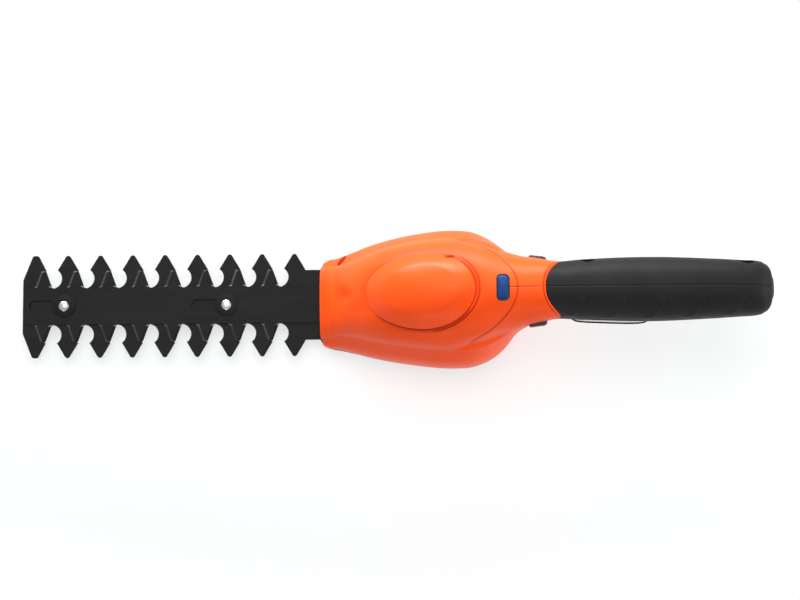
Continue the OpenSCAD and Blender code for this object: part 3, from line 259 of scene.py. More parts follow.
def edited(obj, change):
    """Runs a change on the object's mesh."""
    shape = bmesh.new()
    shape.from_mesh(obj.data)
    change(shape)
    shape.to_mesh(obj.data)
    shape.free()
    return obj


def outward(obj):
    """Turns the faces of a closed mesh outwards."""
    return edited(obj, lambda shape: bmesh.ops.recalc_face_normals(shape, faces=shape.faces))


def split_ends(shape):
    """Splits faces of more than four corners into triangles."""
    ends = [f for f in shape.faces if len(f.verts) > 4]
    bmesh.ops.triangulate(shape, faces=ends, ngon_method="EAR_CLIP")


def grid_quads(rows, cols, closed=False):
    """Faces of a grid of points, row by row; closed joins the last column to the first."""
    i, j = np.meshgrid(np.arange(rows - 1), np.arange(cols if closed else cols - 1), indexing="ij")
    k = (j + 1) % cols
    return np.stack([i * cols + j, (i + 1) * cols + j, (i + 1) * cols + k, i * cols + k], -1).reshape(-1, 4)


def loft(name, loops):
    """Closed body through loops of as many points each, with flat ends."""
    rows, cols = len(loops), len(loops[0])
    faces = grid_quads(rows, cols, closed=True).tolist()
    faces += [list(range(cols)), list(range((rows - 1) * cols, rows * cols))]
    return edited(outward(new_object(name, np.concatenate(loops), faces)), split_ends)


def ring_body(name, loops):
    """Closed ring through loops of as many points each, the last joined to the first."""
    count = len(loops[0])
    last = (len(loops) - 1) * count
    faces = grid_quads(len(loops), count, closed=True).tolist()
    faces += [[last + j, last + (j + 1) % count, (j + 1) % count, j] for j in range(count)]
    return outward(new_object(name, np.concatenate(loops), faces))


def place(points, w, axis):
    """Points of a plan at height w along an axis: x keeps (y, z), y keeps (x, z) and z keeps (x, y)."""
    u, v = np.asarray(points, float).T[:2]
    w = np.broadcast_to(w, u.shape)
    return np.stack({"x": (w, u, v), "y": (u, w, v), "z": (u, v, w)}[axis], -1)


def stack(name, layers, axis="z"):
    """Closed body through plans, each at its height along an axis."""
    return loft(name, [place(plan, height, axis) for plan, height in layers])


def prism(name, outline, low, high, axis="z"):
    """Straight closed body over a plan outline."""
    return stack(name, [(outline, low), (outline, high)], axis)


def angles(count):
    """Angles of a full turn in even steps."""
    return np.linspace(0, 2 * np.pi, count, endpoint=False)


def circle(u, v, radius, count=CIRCLE_SIDES):
    """Points of a circle in a plan."""
    a = angles(count)
    return np.stack([u + radius * np.cos(a), v + radius * np.sin(a)], -1)


def lathe(profile, centre):
    """Loops of a turned part: radius and height of each loop."""
    return [place(circle(*centre, r, LATHE_SIDES), z, "z") for r, z in profile]


def rounded(points, radii, steps=CORNER_STEPS):
    """Outline with each corner turned into an arc of its own radius; 0 keeps the corner."""
    points = np.asarray(points, float)
    result = []
    for i, radius in enumerate(radii):
        p, before, after = points[i], points[i - 1], points[(i + 1) % len(points)]
        if radius == 0:
            result.append(p)
            continue
        reach = [np.linalg.norm(before - p), np.linalg.norm(after - p)]
        a, b = (before - p) / reach[0], (after - p) / reach[1]
        half = math.acos(np.clip(a @ b, -1, 1)) / 2
        run = min(radius / math.tan(half), CORNER_SHARE * min(reach))
        centre = p + (a + b) / np.linalg.norm(a + b) * run / math.cos(half)
        start, end = p + a * run - centre, p + b * run - centre
        angle = math.acos(np.clip(start @ end / (np.linalg.norm(start) * np.linalg.norm(end)), -1, 1))
        for k in range(steps + 1):
            u = k / steps
            mix = (math.sin((1 - u) * angle) * start + math.sin(u * angle) * end) / math.sin(angle)
            result.append(centre + mix)
    return np.array(result)


def rounded_rect(u, v, length, width, radius, steps=CORNER_STEPS):
    """Rectangle with round corners in a plan."""
    l, w = length / 2, width / 2
    return rounded([[u - l, v - w], [u + l, v - w], [u + l, v + w], [u - l, v + w]], [radius] * 4, steps)


def inset(outline, distance):
    """Outline moved inwards along the mean of its two edge normals at each point."""
    p = np.asarray(outline, float)
    edge = np.roll(p, -1, 0) - p
    length = np.maximum(np.linalg.norm(edge, axis=1), TINY)
    normal = np.stack([-edge[:, 1], edge[:, 0]], -1) / length[:, None]
    area = np.sum(p[:, 0] * np.roll(p[:, 1], -1) - np.roll(p[:, 0], -1) * p[:, 1])
    mean = normal + np.roll(normal, 1, 0)
    mean /= np.maximum(np.linalg.norm(mean, axis=1), TINY)[:, None]
    return p + mean * distance * np.sign(area)


def edge_turns():
    """Inset and drop of the loops over a rounded edge, from its side to its top, in shares of its radius."""
    return [(1 - math.cos(a), 1 - math.sin(a)) for a in QUARTER * np.arange(EDGE_STEPS + 1) / EDGE_STEPS]


def made_mesh(obj):
    """New mesh with the result of an object's curve or modifiers."""
    return bpy.data.meshes.new_from_object(obj.evaluated_get(bpy.context.evaluated_depsgraph_get()))


def bake(obj):
    """Replaces the object's mesh by the result of its modifiers."""
    mesh, old = made_mesh(obj), obj.data
    obj.modifiers.clear()
    obj.data = mesh
    bpy.data.meshes.remove(old)
    return obj


def thicken(obj, thickness, offset):
    """Turns a sheet into a wall: inwards at an offset of -1, to both sides at 0."""
    wall = obj.modifiers.new("wall", "SOLIDIFY")
    wall.thickness = thickness * MM
    wall.offset = offset
    return bake(obj)


def cut_away(obj, tools):
    """Cuts closed tools out of a closed mesh."""
    for tool in tools:
        cut = obj.modifiers.new("cut", "BOOLEAN")
        cut.operation = "DIFFERENCE"
        cut.solver = "MANIFOLD"
        cut.object = tool
    bake(obj)
    for tool in tools:
        bpy.data.objects.remove(tool)
    return obj


def join(name, objects):
    """One mesh object out of several."""
    shape = bmesh.new()
    for obj in objects:
        shape.from_mesh(obj.data)
        bpy.data.objects.remove(obj)
    result = new_object(name, np.zeros((0, 3)), [])
    shape.to_mesh(result.data)
    shape.free()
    return result


def piece(obj, body, material=None, replaces=(), sharp=SHARP):
    """Gives a piece its material, smooth shading, body and the CAD nodes that it stands for."""
    mesh = obj.data
    mesh.polygons.foreach_set("use_smooth", np.ones(len(mesh.polygons), bool))
    mesh.set_sharp_from_angle(angle=math.radians(sharp))
    if material is not None:
        mesh.materials.clear()
        mesh.materials.append(material)
    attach(obj, body)
    if replaces:
        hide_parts(*replaces)
    return obj


# Materials

# Name of the mark of painted shade that grooves, seams and the valley round the pad carry on a mesh
SHADE_MARK_NAME = "groove_and_shade"
# Clouds in a colour: scale, detail and where one tone turns to the other; then the detail of the grain
CLOUD_SCALE = 30
CLOUD_DETAIL = 4
CLOUD_ENDS = (0.35, 0.65)
GRAIN_DETAIL = 3


def feed(tree, node, inputs):
    """Gives each named input of a node a value or another node's output."""
    for name, value in inputs.items():
        if isinstance(value, bpy.types.NodeSocket):
            tree.links.new(value, node.inputs[name])
        else:
            node.inputs[name].default_value = value


def add(tree, kind, inputs, **settings):
    """New shader node with its settings and inputs; returns its outputs."""
    node = tree.nodes.new("ShaderNode" + kind)
    for name, value in settings.items():
        setattr(node, name, value)
    feed(tree, node, inputs)
    return node.outputs


def blank_tree(data):
    """Emptied node tree of a material or world."""
    data.use_nodes = True
    data.node_tree.nodes.clear()
    return data.node_tree


def noise(tree, spot, scale, stretch, detail):
    """Noise over the object, stretched along its axes."""
    stretched = add(tree, "Mapping", {"Vector": spot, "Scale": stretch})["Vector"]
    return add(tree, "TexNoise", {"Vector": stretched, "Scale": scale, "Detail": detail})["Fac"]


def ramp(tree, factor, tones):
    """Colour between two tones along a factor."""
    node = tree.nodes.new("ShaderNodeValToRGB")
    for element, position, tone in zip(node.color_ramp.elements, CLOUD_ENDS, tones):
        element.position = position
        element.color = (*tone, 1)
    feed(tree, node, {"Fac": factor})
    return node.outputs["Color"]


def with_groove_shade(tree, colour, shade_tone):
    """Colour with painted shade mixed in where a mesh marks its grooves, seams and valley."""
    shade_mark = add(tree, "Attribute", {}, attribute_name=SHADE_MARK_NAME)["Fac"]
    return add(tree, "MixRGB", {"Fac": shade_mark, "Color1": colour, "Color2": (*shade_tone, 1)})["Color"]


def moulded(name, low, high, rough, scale, relief, metal=0.0, stretch=(1, 1, 1), shine=0.5, shade_tone=None):
    """Moulded, coated or brushed surface: clouded colour, uneven gloss, fine grain and, given a shade tone,
    painted shade in grooves.
    """
    material = bpy.data.materials.new(name)
    material.use_nodes = True
    tree = material.node_tree
    spot = add(tree, "TexCoord", {})["Object"]
    colour = ramp(tree, noise(tree, spot, CLOUD_SCALE, stretch, CLOUD_DETAIL), (low, high))
    if shade_tone is not None:
        colour = with_groove_shade(tree, colour, shade_tone)
    grain = noise(tree, spot, scale, stretch, GRAIN_DETAIL)
    gloss = add(tree, "MapRange", {"Value": grain, "To Min": rough[0], "To Max": rough[1]})["Result"]
    bump = add(tree, "Bump", {"Height": grain, "Strength": relief[0], "Distance": relief[1] * MM})["Normal"]
    feed(tree, tree.nodes["Principled BSDF"], {"Base Color": colour, "Roughness": gloss, "Normal": bump,
                                               "Metallic": metal, "Specular IOR Level": shine})
    return material


# Each material: two tones, least and most roughness, scale of the grain, its strength and height
# The shell's and the grip's shade tone is painted shade that darkens their grooves and seams
ORANGE = moulded("orange_shell", (0.90, 0.074, 0.006), (0.94, 0.084, 0.008), (0.38, 0.46), 1800,
                 (0.08, 0.04), shine=0.13, shade_tone=(0.28, 0.011, 0.0015))
ORANGE_PAD = moulded("orange_pad", (0.90, 0.074, 0.006), (0.94, 0.084, 0.008), (0.30, 0.38), 1500,
                     (0.06, 0.04), shine=0.16)
# Dark linings of the screw wells are painted shade; the near-black one also colours the label frame
ORANGE_WELL_SHADE = moulded("orange_well_shade", (0.40, 0.022, 0.002), (0.46, 0.028, 0.003), (0.5, 0.6), 1500,
                      (0.1, 0.03), shine=0.1)
RUBBER = moulded("grip_rubber", (0.0048, 0.0050, 0.0051), (0.0076, 0.0078, 0.0079), (0.48, 0.62), 2600,
                 (0.3, 0.1), shine=0.14, shade_tone=(0.0012, 0.0012, 0.0012))
WELL_SHADE_AND_FRAME = moulded("well_shade_and_frame", (0.0015, 0.0015, 0.0015), (0.0025, 0.0025, 0.0025), (0.7, 0.8), 1500,
               (0.1, 0.03), shine=0.1)
BLADE = moulded("blade_steel", (0.0050, 0.0050, 0.0050), (0.0075, 0.0075, 0.0075), (0.44, 0.56), 900,
                (0.1, 0.03), stretch=(1, 6, 1), shine=0.09)
GROUND = moulded("ground_edge", (0.042, 0.042, 0.043), (0.085, 0.085, 0.087), (0.34, 0.46), 2200,
                 (0.12, 0.02), metal=0.9, stretch=(6, 1, 1))
# Ground steel painted brighter at the tooth roots: a painted highlight
ROOT_HIGHLIGHT = moulded("ground_root_highlight", (0.24, 0.24, 0.245), (0.36, 0.36, 0.365), (0.38, 0.48), 2200, (0.1, 0.02),
               metal=0.9)
WASHER = moulded("washer_steel", (0.0050, 0.0050, 0.0050), (0.0075, 0.0075, 0.0075), (0.42, 0.54), 1200,
                 (0.08, 0.02), shine=0.08)
BRIGHT = moulded("bright_steel", (0.30, 0.294, 0.274), (0.40, 0.392, 0.367), (0.22, 0.36), 1600,
                 (0.08, 0.02), metal=1.0)
SPRING = moulded("spring_steel", (0.42, 0.42, 0.43), (0.55, 0.55, 0.56), (0.25, 0.38), 1600, (0.05, 0.02),
                 metal=1.0)
MOTOR = moulded("motor_steel", (0.50, 0.50, 0.51), (0.62, 0.62, 0.63), (0.28, 0.42), 500, (0.08, 0.02),
                metal=1.0, stretch=(1, 1, 12))
BRONZE = moulded("bronze", (0.50, 0.27, 0.09), (0.62, 0.36, 0.14), (0.35, 0.5), 1400, (0.2, 0.03), metal=1.0)
ALLOY = moulded("gearbox_alloy", (0.30, 0.31, 0.32), (0.40, 0.41, 0.42), (0.42, 0.58), 900, (0.3, 0.06),
                metal=0.9)
NYLON = moulded("nylon", (0.66, 0.63, 0.55), (0.74, 0.71, 0.63), (0.4, 0.5), 1000, (0.05, 0.03))
BLACK = moulded("black_plastic", (0.006, 0.006, 0.0065), (0.010, 0.010, 0.0105), (0.38, 0.5), 2200,
                (0.25, 0.06), shine=0.4)
RED = moulded("red_plastic", (0.50, 0.03, 0.02), (0.58, 0.04, 0.03), (0.35, 0.45), 1500, (0.08, 0.03))
BLUE = moulded("blue_button", (0.004, 0.030, 0.125), (0.008, 0.046, 0.170), (0.42, 0.54), 1800, (0.1, 0.03),
               shine=0.12)
CELL = moulded("cell_can", (0.02, 0.10, 0.26), (0.03, 0.13, 0.32), (0.3, 0.4), 700, (0.05, 0.03))
BOARD = moulded("circuit_board", (0.008, 0.09, 0.03), (0.014, 0.13, 0.045), (0.35, 0.5), 900, (0.1, 0.04))
LEAD = moulded("lead_cover", (0.30, 0.012, 0.010), (0.38, 0.018, 0.014), (0.4, 0.5), 1500, (0.08, 0.03))
WHITE = moulded("label_white", (0.88, 0.88, 0.87), (0.92, 0.92, 0.91), (0.3, 0.4), 1500, (0.04, 0.02))

CAD_MATERIALS = {
    BLADE: ["guard_blade", "cutter_blade"],
    WASHER: ["rivet_washers"],
    BRIGHT: ["blade_rivets", "guard_screws", "sole_screws", "crank_disc", "drive_shaft", "idler_axle",
             "gearbox_screws", "motor_shaft", "motor_screws", "shell_screws", "trigger_pin", "cell_tabs"],
    SPRING: ["trigger_spring", "left_lock_spring", "right_lock_spring", "button_spring"],
    MOTOR: ["motor_can"],
    BRONZE: ["crank_roller", "lower_bush", "upper_bush", "motor_terminals", "motor_pinion"],
    NYLON: ["drive_gear", "idler_gear"],
    ALLOY: ["gearbox_plate", "gearbox_housing"],
    BLACK: ["sole_plate", "motor_cap", "trigger", "micro_switch", "left_lock_button", "right_lock_button",
            "button_bezel", "cell_holder", "charge_socket"],
    RED: ["switch_plunger"],
    BLUE: ["top_button"],
    ORANGE: ["left_shell", "right_shell"],
    ORANGE_PAD: ["top_pad"],
    RUBBER: ["left_grip", "right_grip"],
    CELL: ["battery_cell"],
    BOARD: ["control_board", "button_board"],
    LEAD: ["motor_leads"],
    WHITE: ["label_plate"],
}
for cad_material, cad_nodes in CAD_MATERIALS.items():
    for cad_node in cad_nodes:
        cad_mesh = frame["nodes"][cad_node].data
        cad_mesh.materials.clear()
        cad_mesh.materials.append(cad_material)

# Relief of the half shells

# Front edge of the grip: an arc that starts further back on the sides
EDGE_SWEEP = 9.5
# Arc seam across the back of the head: place on the centre line, bend, half width, fade, rounds to find it
SEAM_X = 75.2
SEAM_BEND = 0.0275
SEAM_END = 29.0
SEAM_FADE = 3.0
SEAM_ROUNDS = 20
# Grooves, darkened with painted shade, and the parting line from the button to the grip
GROOVE_DEPTH = 0.32
GROOVE_HALF = 0.38
GROOVE_SHADE = 0.85
PARTING_HALF = 0.3
PARTING_RUN = 3.0
PARTING_END = 6.0
PARTING_FADE = 4.0
# Run over which what lies on the dome begins above the crease
UPPER_RUN = 0.04
# Lip and hollow of the nose
NOSE_LIP_LEN = 7.4
NOSE_LIP_RISE = 0.7
NOSE_LIP_EDGE = 1.3
SADDLE_AHEAD = 5.0
SADDLE_LEN = 17.0
SADDLE_HALF = 7.0
SADDLE_TAPER = 1.3
SADDLE_DEPTH = 1.2
# Bead before the grip
BEAD_BACK = 0.6
BEAD_RISE = 0.3
BEAD_HALF = 0.4
# Pad on the dome, and the valley that it sits in, with painted shade in the valley
PAD_FROM = 0.217
PAD_TO = 0.697
PAD_HALF_SHARE = 0.53
PAD_EGG = 0.1
PAD_MID = NOSE_X + HEAD_LEN * (PAD_FROM + PAD_TO) / 2
PAD_HALF_LEN = HEAD_LEN * (PAD_TO - PAD_FROM) / 2
PAD_HALF_W = PAD_HALF_SHARE * HALF_W
PAD_FLOOR = 2.0
PAD_FLOOR_RUN = 1.5
VALLEY_DEPTH = 2.1
VALLEY_RUN = 3.4
VALLEY_SHADE = 0.3
# Line round the rear of the pad, with painted shade: gap, and where along the pad it starts, further back on
# the right
RING_GAP = 2.5
RING_START = 0.1
RING_START_RIGHT = 0.5
RING_FADE = 0.3
# Line at the foot of the pad, with painted shade, at its rear and, wider, along its left-hand side as a
# painted shadow band
FOOT_GAP = 0.5
FOOT_DEPTH = 0.7
FOOT_WIDEN = 0.6
FOOT_FROM = 10.0
FOOT_RUN = 6.0
# Ledge on which the rear of the dome steps in from the skirt
LEDGE_DEPTH = 2.0
LEDGE_FROM = 38.0
LEDGE_TO = 62.0
LEDGE_RUN = 13.0
LEDGE_FOOT = 0.02
LEDGE_FLAT = 0.05
LEDGE_CLIMB = 0.22
# Middle of the top button, where the parting line starts
BUTTON_X = (BUTTON_LOW[0] + BUTTON_HIGH[0]) / 2


def grip_front(t):
    """Place of the grip's front edge around the neck."""
    return NECK_X + EDGE_SWEEP * np.sin(np.pi * np.clip(t, 0, 1)) ** 2


def seam_place(t):
    """Place of the arc seam around the head."""
    x = np.full_like(t, SEAM_X)
    for _ in range(SEAM_ROUNDS):
        y = rim(x, np.maximum(t, CREASE))[0]
        x = (x + (SEAM_X - SEAM_BEND * y ** 2)) / 2
    return x


def pad_distance(x, y):
    """Distance from the pad's rim over the plan, negative inside, and the share along its length."""
    u, v = (x - PAD_MID) / PAD_HALF_LEN, y / PAD_HALF_W
    swell = 1 + PAD_EGG * u / np.maximum(np.hypot(u, v), TINY)
    w = v / swell
    q = np.maximum(np.hypot(u, w), TINY)
    slope = np.hypot(u / (q * PAD_HALF_LEN), w / (q * PAD_HALF_W * swell))
    return (q - 1) / slope, u


def shell_relief(x, y, t):
    """Relief of the half shells and painted shade for its grooves: nose, seams, bead, ledge and the valley
    round the pad.
    """
    front = grip_front(t)
    upper = eased(t, CREASE, UPPER_RUN)
    distance, along = pad_distance(x, y)
    outside = np.maximum(distance, 0)
    rear = eased(along, RING_START + RING_START_RIGHT * eased(y, 0, FOOT_RUN), RING_FADE)
    left = eased(-y, FOOT_FROM, FOOT_RUN)
    parting = eased(x, BUTTON_X, PARTING_RUN) * (1 - eased(x, NECK_X - PARTING_END, PARTING_FADE))
    seam_away = (x - SEAM_X + SEAM_BEND * y ** 2) / np.sqrt(1 + (2 * SEAM_BEND * y) ** 2)
    seam = bump_line(seam_away, GROOVE_HALF) * (1 - eased(np.abs(y), SEAM_END, SEAM_FADE))
    ring = bump_line(distance - RING_GAP, GROOVE_HALF) * rear
    # Seam, ring and foot lines give both depth and painted shade; the foot widens on the left into a painted
    # shadow band
    foot = bump_line(distance - FOOT_GAP - FOOT_WIDEN * left, GROOVE_HALF + FOOT_WIDEN * left)
    groove_and_shade = bump_line(y, PARTING_HALF) * parting + bump_line(x - front + 2 * BEAD_BACK, GROOVE_HALF)
    groove_and_shade = groove_and_shade + upper * (seam + ring + FOOT_DEPTH * foot * np.maximum(rear, left))
    saddle = np.clip((x - NOSE_X - SADDLE_AHEAD) / SADDLE_LEN, 0, 1)
    hollow = SADDLE_DEPTH * np.sin(np.pi * saddle) ** 2 * bump_line(y, SADDLE_HALF * (SADDLE_TAPER - saddle))
    valley = VALLEY_DEPTH * np.exp(-outside / VALLEY_RUN) + PAD_FLOOR * eased(-distance, 0, PAD_FLOOR_RUN)
    ledge = eased(x, LEDGE_FROM, LEDGE_RUN) * (1 - eased(x, LEDGE_TO, LEDGE_RUN))
    ledge = ledge * eased(t, CREASE, LEDGE_FOOT) * (1 - eased(t, CREASE + LEDGE_FLAT, LEDGE_CLIMB))
    relief = NOSE_LIP_RISE * (1 - eased(x, NOSE_X + NOSE_LIP_LEN, NOSE_LIP_EDGE))
    relief = relief + BEAD_RISE * bump_line(x - front + BEAD_BACK, BEAD_HALF)
    relief = relief - upper * (hollow + valley) - LEDGE_DEPTH * ledge - GROOVE_DEPTH * groove_and_shade
    # Painted shade in the valley round the pad
    shade = VALLEY_SHADE * upper * np.exp(-(outside / VALLEY_RUN) ** 2)
    return relief, np.clip(GROOVE_SHADE * groove_and_shade + shade, 0, 1)


# Half shells

# Rows round a section: below the skirt, up to the crease, over the dome and close to the centre line
DOME_SHARE = 0.965
CROWN_SHARES = [0.977, 0.986, 0.9911, 0.9949, 0.9975, 1]
DOME_ROWS = np.concatenate([np.linspace(0, DOME_SHARE, 84)[1:], CROWN_SHARES])
SHELL_ROWS = np.concatenate([np.linspace(0, SKIRT, 40), np.linspace(SKIRT, CREASE, 14)[1:],
                             CREASE + (1 - CREASE) * DOME_ROWS])
# Rings along the shell: up to the arc seam, from there to the grip, and under the grip
HEAD_RINGS = 226
NECK_RINGS = 70
GRIP_RINGS = 26
# Softened turn at the skirt and crease: rounds, reach below and above, and where it ends before the neck
SOFT_ROUNDS = 14
SOFT_BELOW = 0.09
SOFT_ABOVE = 0.1
SOFT_END = 12.0
# Closed ends: shares of the flat rings, steps and shrinking of the rounded edge, the radii,
# and how many rings are held behind the nose's edge
END_SHARES = (0.03, 0.3, 0.6, 0.85)
END_STEPS = 6
END_SHRINK = 0.075
NOSE_ROUND = 1.4
NOSE_ROWS = 6
SHELL_TAIL_ROUND = 0.6
# Room left round the pieces that sit in the shells, and how far a cut reaches past
CLEAR = 0.3
OVER = 60.0
# Plug hole: radius, and how far its cuts reach past the surfaces
PLUG_R = 3.6
PLUG_OVER = 1.0
# Trigger: place of its pin, and its room's slack behind it, corner radius and height over the pin
TRIGGER_X = (PIN_LOW[0] + PIN_HIGH[0]) / 2
TRIGGER_Z = (PIN_LOW[2] + PIN_HIGH[2]) / 2
TRIGGER_SLACK = 1.5
TRIGGER_CORNER = 1.5
TRIGGER_OVER = 4.0
# Slot of the blades in the nose: half width in shares of the guard's reach, and room over the cutter
NOSE_SLOT_SHARE = 0.7
NOSE_SLOT_GAP = 0.5
# Screws lie at least this far apart along the tool
SCREW_APART = 10.0
# Half length, half height and lift of the mouth over each screw, from the nose to the tail
WELL_SHAPES = [(2.8, 2.8, 0.0), (2.9, 1.2, 3.0), (4.0, 4.0, 2.0), (4.5, 4.5, 2.0)]
WELL_WALL = 0.3
WELL_SINK = 0.4
# Top button and its bezel
BUTTON_INSET = 0.7
BUTTON_LEN = BUTTON_HIGH[0] - BUTTON_LOW[0] - 2 * BUTTON_INSET
BUTTON_W = BUTTON_HIGH[1] - BUTTON_LOW[1] - 2 * BUTTON_INSET
BUTTON_ROUND = 1.8
BUTTON_STEPS = 8
BUTTON_BULGE = 0.7
BUTTON_CROWN = 14.0
BUTTON_EDGE = 0.7
BUTTON_GAP = 0.3
BUTTON_RINGS = (0.6, 0.3, 0.05)
BEZEL_W = 1.0
BEZEL_ROOM = 0.6
BEZEL_DROP = 0.25
BEZEL_RISE = 0.05
# Dots on the button: pitch, row pitch in shares of it, radius, height, sides and margins
DOT_PITCH = 1.2
DOT_ROW_SHARE = 0.87
DOT_R = 0.38
DOT_H = 0.24
DOT_SIDES = 8
DOT_FRONT, DOT_BACK = 1.1, 0.9
DOT_LEFT, DOT_RIGHT = 1.2, 1.1
# Lock buttons
LOCK_X = (LOCK_LOW[0] + LOCK_HIGH[0]) / 2
LOCK_Z = (LOCK_LOW[2] + LOCK_HIGH[2]) / 2
LOCK_LEN = 10.0
LOCK_H = 7.0
LOCK_ROUND = 2.0
LOCK_STEPS = 6
LOCK_PROUD = 2.0
LOCK_EDGE = 1.1
LOCK_ROOM = 2.0
FLANGE_T = 1.6
FLANGE_GROW = 2.4
RIDGE_COUNT = 3
RIDGE_PITCH = 2.4
RIDGE_W = 0.9
RIDGE_H = 0.15
RIDGE_ROOT = 0.3
RIDGE_MARGIN = 2.2
RIDGE_ROUND = 0.45
RIDGE_INSET = 0.25


def soften(grid, rows, rounds):
    """Rounds the hard turns of a grid of rings between two rows."""
    first, last = rows
    for _ in range(rounds):
        middle = grid[:, first:last]
        grid[:, first:last] = middle / 2 + (grid[:, first - 1:last - 1] + grid[:, first + 1:last + 1]) / 4
    return grid


def displaced(grid, relief):
    """Moves a grid of points along its normals; what lies on the centre plane stays on it."""
    normal = np.cross(np.gradient(grid, axis=0), np.gradient(grid, axis=1))
    normal /= np.maximum(np.linalg.norm(normal, axis=2), TINY)[..., None]
    if np.sum(normal[..., 2] * (grid[..., 2] - grid[..., 2].mean())) < 0:
        normal = -normal
    moved = grid + normal * relief[..., None]
    moved[np.abs(grid[..., 1]) < ON_PLANE, 1] = 0
    return moved


def shell_columns(t):
    """Places of the shell's rings: up to the arc seam, up to the grip and on under the grip's skin."""
    seam, step = seam_place(t), grip_front(t) - SKIN_GAP
    ahead = [NOSE_X + (seam - NOSE_X) * u for u in np.linspace(0, 1, HEAD_RINGS)]
    behind = [seam + (step - seam) * u for u in np.linspace(0, 1, NECK_RINGS)[1:]]
    under = [step + SKIN_GAP / 2 + (TAIL_X - SKIN_T - step) * u for u in np.linspace(0, 1, GRIP_RINGS)]
    depths = [0] * (len(ahead) + len(behind)) + [SKIN_T + SKIN_GAP] * len(under)
    return np.array(ahead + behind + under), np.array(depths, float)[:, None]


def end_rings(ring, x, rounding):
    """Rings that close an end: flat in the middle, rounded over its edge; rounding is signed along X."""
    centre = np.array([x, 0, ring[:, 2].mean()])
    steps = [(share, 0) for share in END_SHARES]
    for a in QUARTER * np.arange(1, END_STEPS) / END_STEPS:
        share = 1 - END_SHRINK * (1 - math.sin(a)) * abs(rounding)
        steps.append((share, rounding * (1 - math.cos(a))))
    rings = []
    for share, shift in steps:
        inner = centre + (ring - centre) * share
        inner[:, 0] = x + shift
        rings.append(inner)
    return rings


def skin(name, side, grid, groove_and_shade, nose, tail, wall, tools):
    """Wall under a grid of one half and its end rings, with the painted shade of its grooves marked and its
    openings cut.
    """
    grid = np.array([*nose, *grid, *tail[::-1]])
    groove_and_shade = np.pad(groove_and_shade, ((len(nose), len(tail)), (0, 0)))
    grid[..., 1] *= side
    obj = new_object(name, grid.reshape(-1, 3), grid_quads(*grid.shape[:2]))
    shade_mark = obj.data.attributes.new(SHADE_MARK_NAME, "FLOAT", "POINT")
    shade_mark.data.foreach_set("value", groove_and_shade.reshape(-1))
    if side > 0:
        obj.data.flip_normals()
    return cut_away(thicken(obj, wall, -1), tools)


def half_shell(name, side, node):
    """Orange half shell with its seams, openings and wall, and painted shade in its grooves and round the
    pad.
    """
    t = SHELL_ROWS
    x, depth = shell_columns(t)
    grid = np.stack([x, *rim(x, t[None, :], depth)], -1)
    head = x[:, 0] < NECK_X - SOFT_END
    rows = np.searchsorted(t, [SKIRT - SOFT_BELOW, CREASE + SOFT_ABOVE])
    grid[head] = soften(grid[head], rows, SOFT_ROUNDS)
    relief, groove_and_shade = shell_relief(x, side * grid[..., 1], t[None, :])
    grid = displaced(grid, relief * (depth == 0))
    nose = end_rings(grid[0], NOSE_X, NOSE_ROUND)
    tail = end_rings(grid[-1], grid[-1, :, 0].max(), -SHELL_TAIL_ROUND)
    grid[:NOSE_ROWS, :, 0] = np.maximum(grid[:NOSE_ROWS, :, 0], NOSE_X + NOSE_ROUND)
    obj = skin(name, side, grid, groove_and_shade, nose, tail, WALL, shell_tools(side))
    return piece(obj, "body", ORANGE, [node])


def screw_seats():
    """Places, heights and seats of the screws in the right-hand side."""
    points = np.array([v.co for v in frame["nodes"]["shell_screws"].data.vertices]) / MM
    order = np.argsort(points[:, 0])
    groups = np.split(points[order], np.where(np.diff(points[order, 0]) > SCREW_APART)[0] + 1)
    return [(g[:, 0].mean(), (g[:, 2].min() + g[:, 2].max()) / 2, g[:, 1].max()) for g in groups]


SCREWS = screw_seats()


def well_mouth(k, inner=0.0):
    """Oval outline of a screw's well, seen from the side."""
    x, z, _y = SCREWS[k]
    length, height, lift = WELL_SHAPES[k]
    return circle(0, 0, 1) * [length - inner, height - inner] + [x, z + lift]


def well_tool(k):
    """What a screw's well cuts out of the skin."""
    return prism(f"well_cut_{k}", well_mouth(k), SCREWS[k][2] - 2 * CLEAR, OVER, "y")


def screw_wells():
    """Lined wells over the screw heads, ending just below the surface; their dark lining is painted shade.
    """
    for k, (x, _z, y) in enumerate(SCREWS):
        wide, narrow = well_mouth(k), well_mouth(k, WELL_WALL)
        mouth = [np.maximum(side_y(c[:, 0], c[:, 1]) - WELL_SINK, y + 2 * CLEAR) for c in (wide, narrow)]
        layers = [(wide, y + CLEAR / 2), (wide, mouth[0]), (narrow, mouth[1]), (narrow, y + CLEAR)]
        # Darker orange or near-black lining: painted shade in the well
        slot, material = ("orange_shell", ORANGE_WELL_SHADE) if x < NECK_X else ("grip_rubber", WELL_SHADE_AND_FRAME)
        piece(stack(f"well_{k}", layers, "y"), "body", material)


def trigger_room():
    """Room for the trigger through the grip's underside."""
    low, high = TRIGGER_LOW - CLEAR, TRIGGER_HIGH + CLEAR
    length = high[0] - low[0] + TRIGGER_SLACK
    middle = (low[0] + high[0] + TRIGGER_SLACK) / 2
    outline = rounded_rect(middle, 0, length, high[1] - low[1], TRIGGER_CORNER)
    return prism("trigger_room", outline, low[2] - OVER, TRIGGER_Z + TRIGGER_OVER)


def plug_room(start):
    """Hole for the plug through the end, from a start along the tool."""
    outline = circle(0, (SOCKET_LOW[2] + SOCKET_HIGH[2]) / 2, PLUG_R)
    return prism("plug", outline, start, TAIL_X + PLUG_OVER, "x")


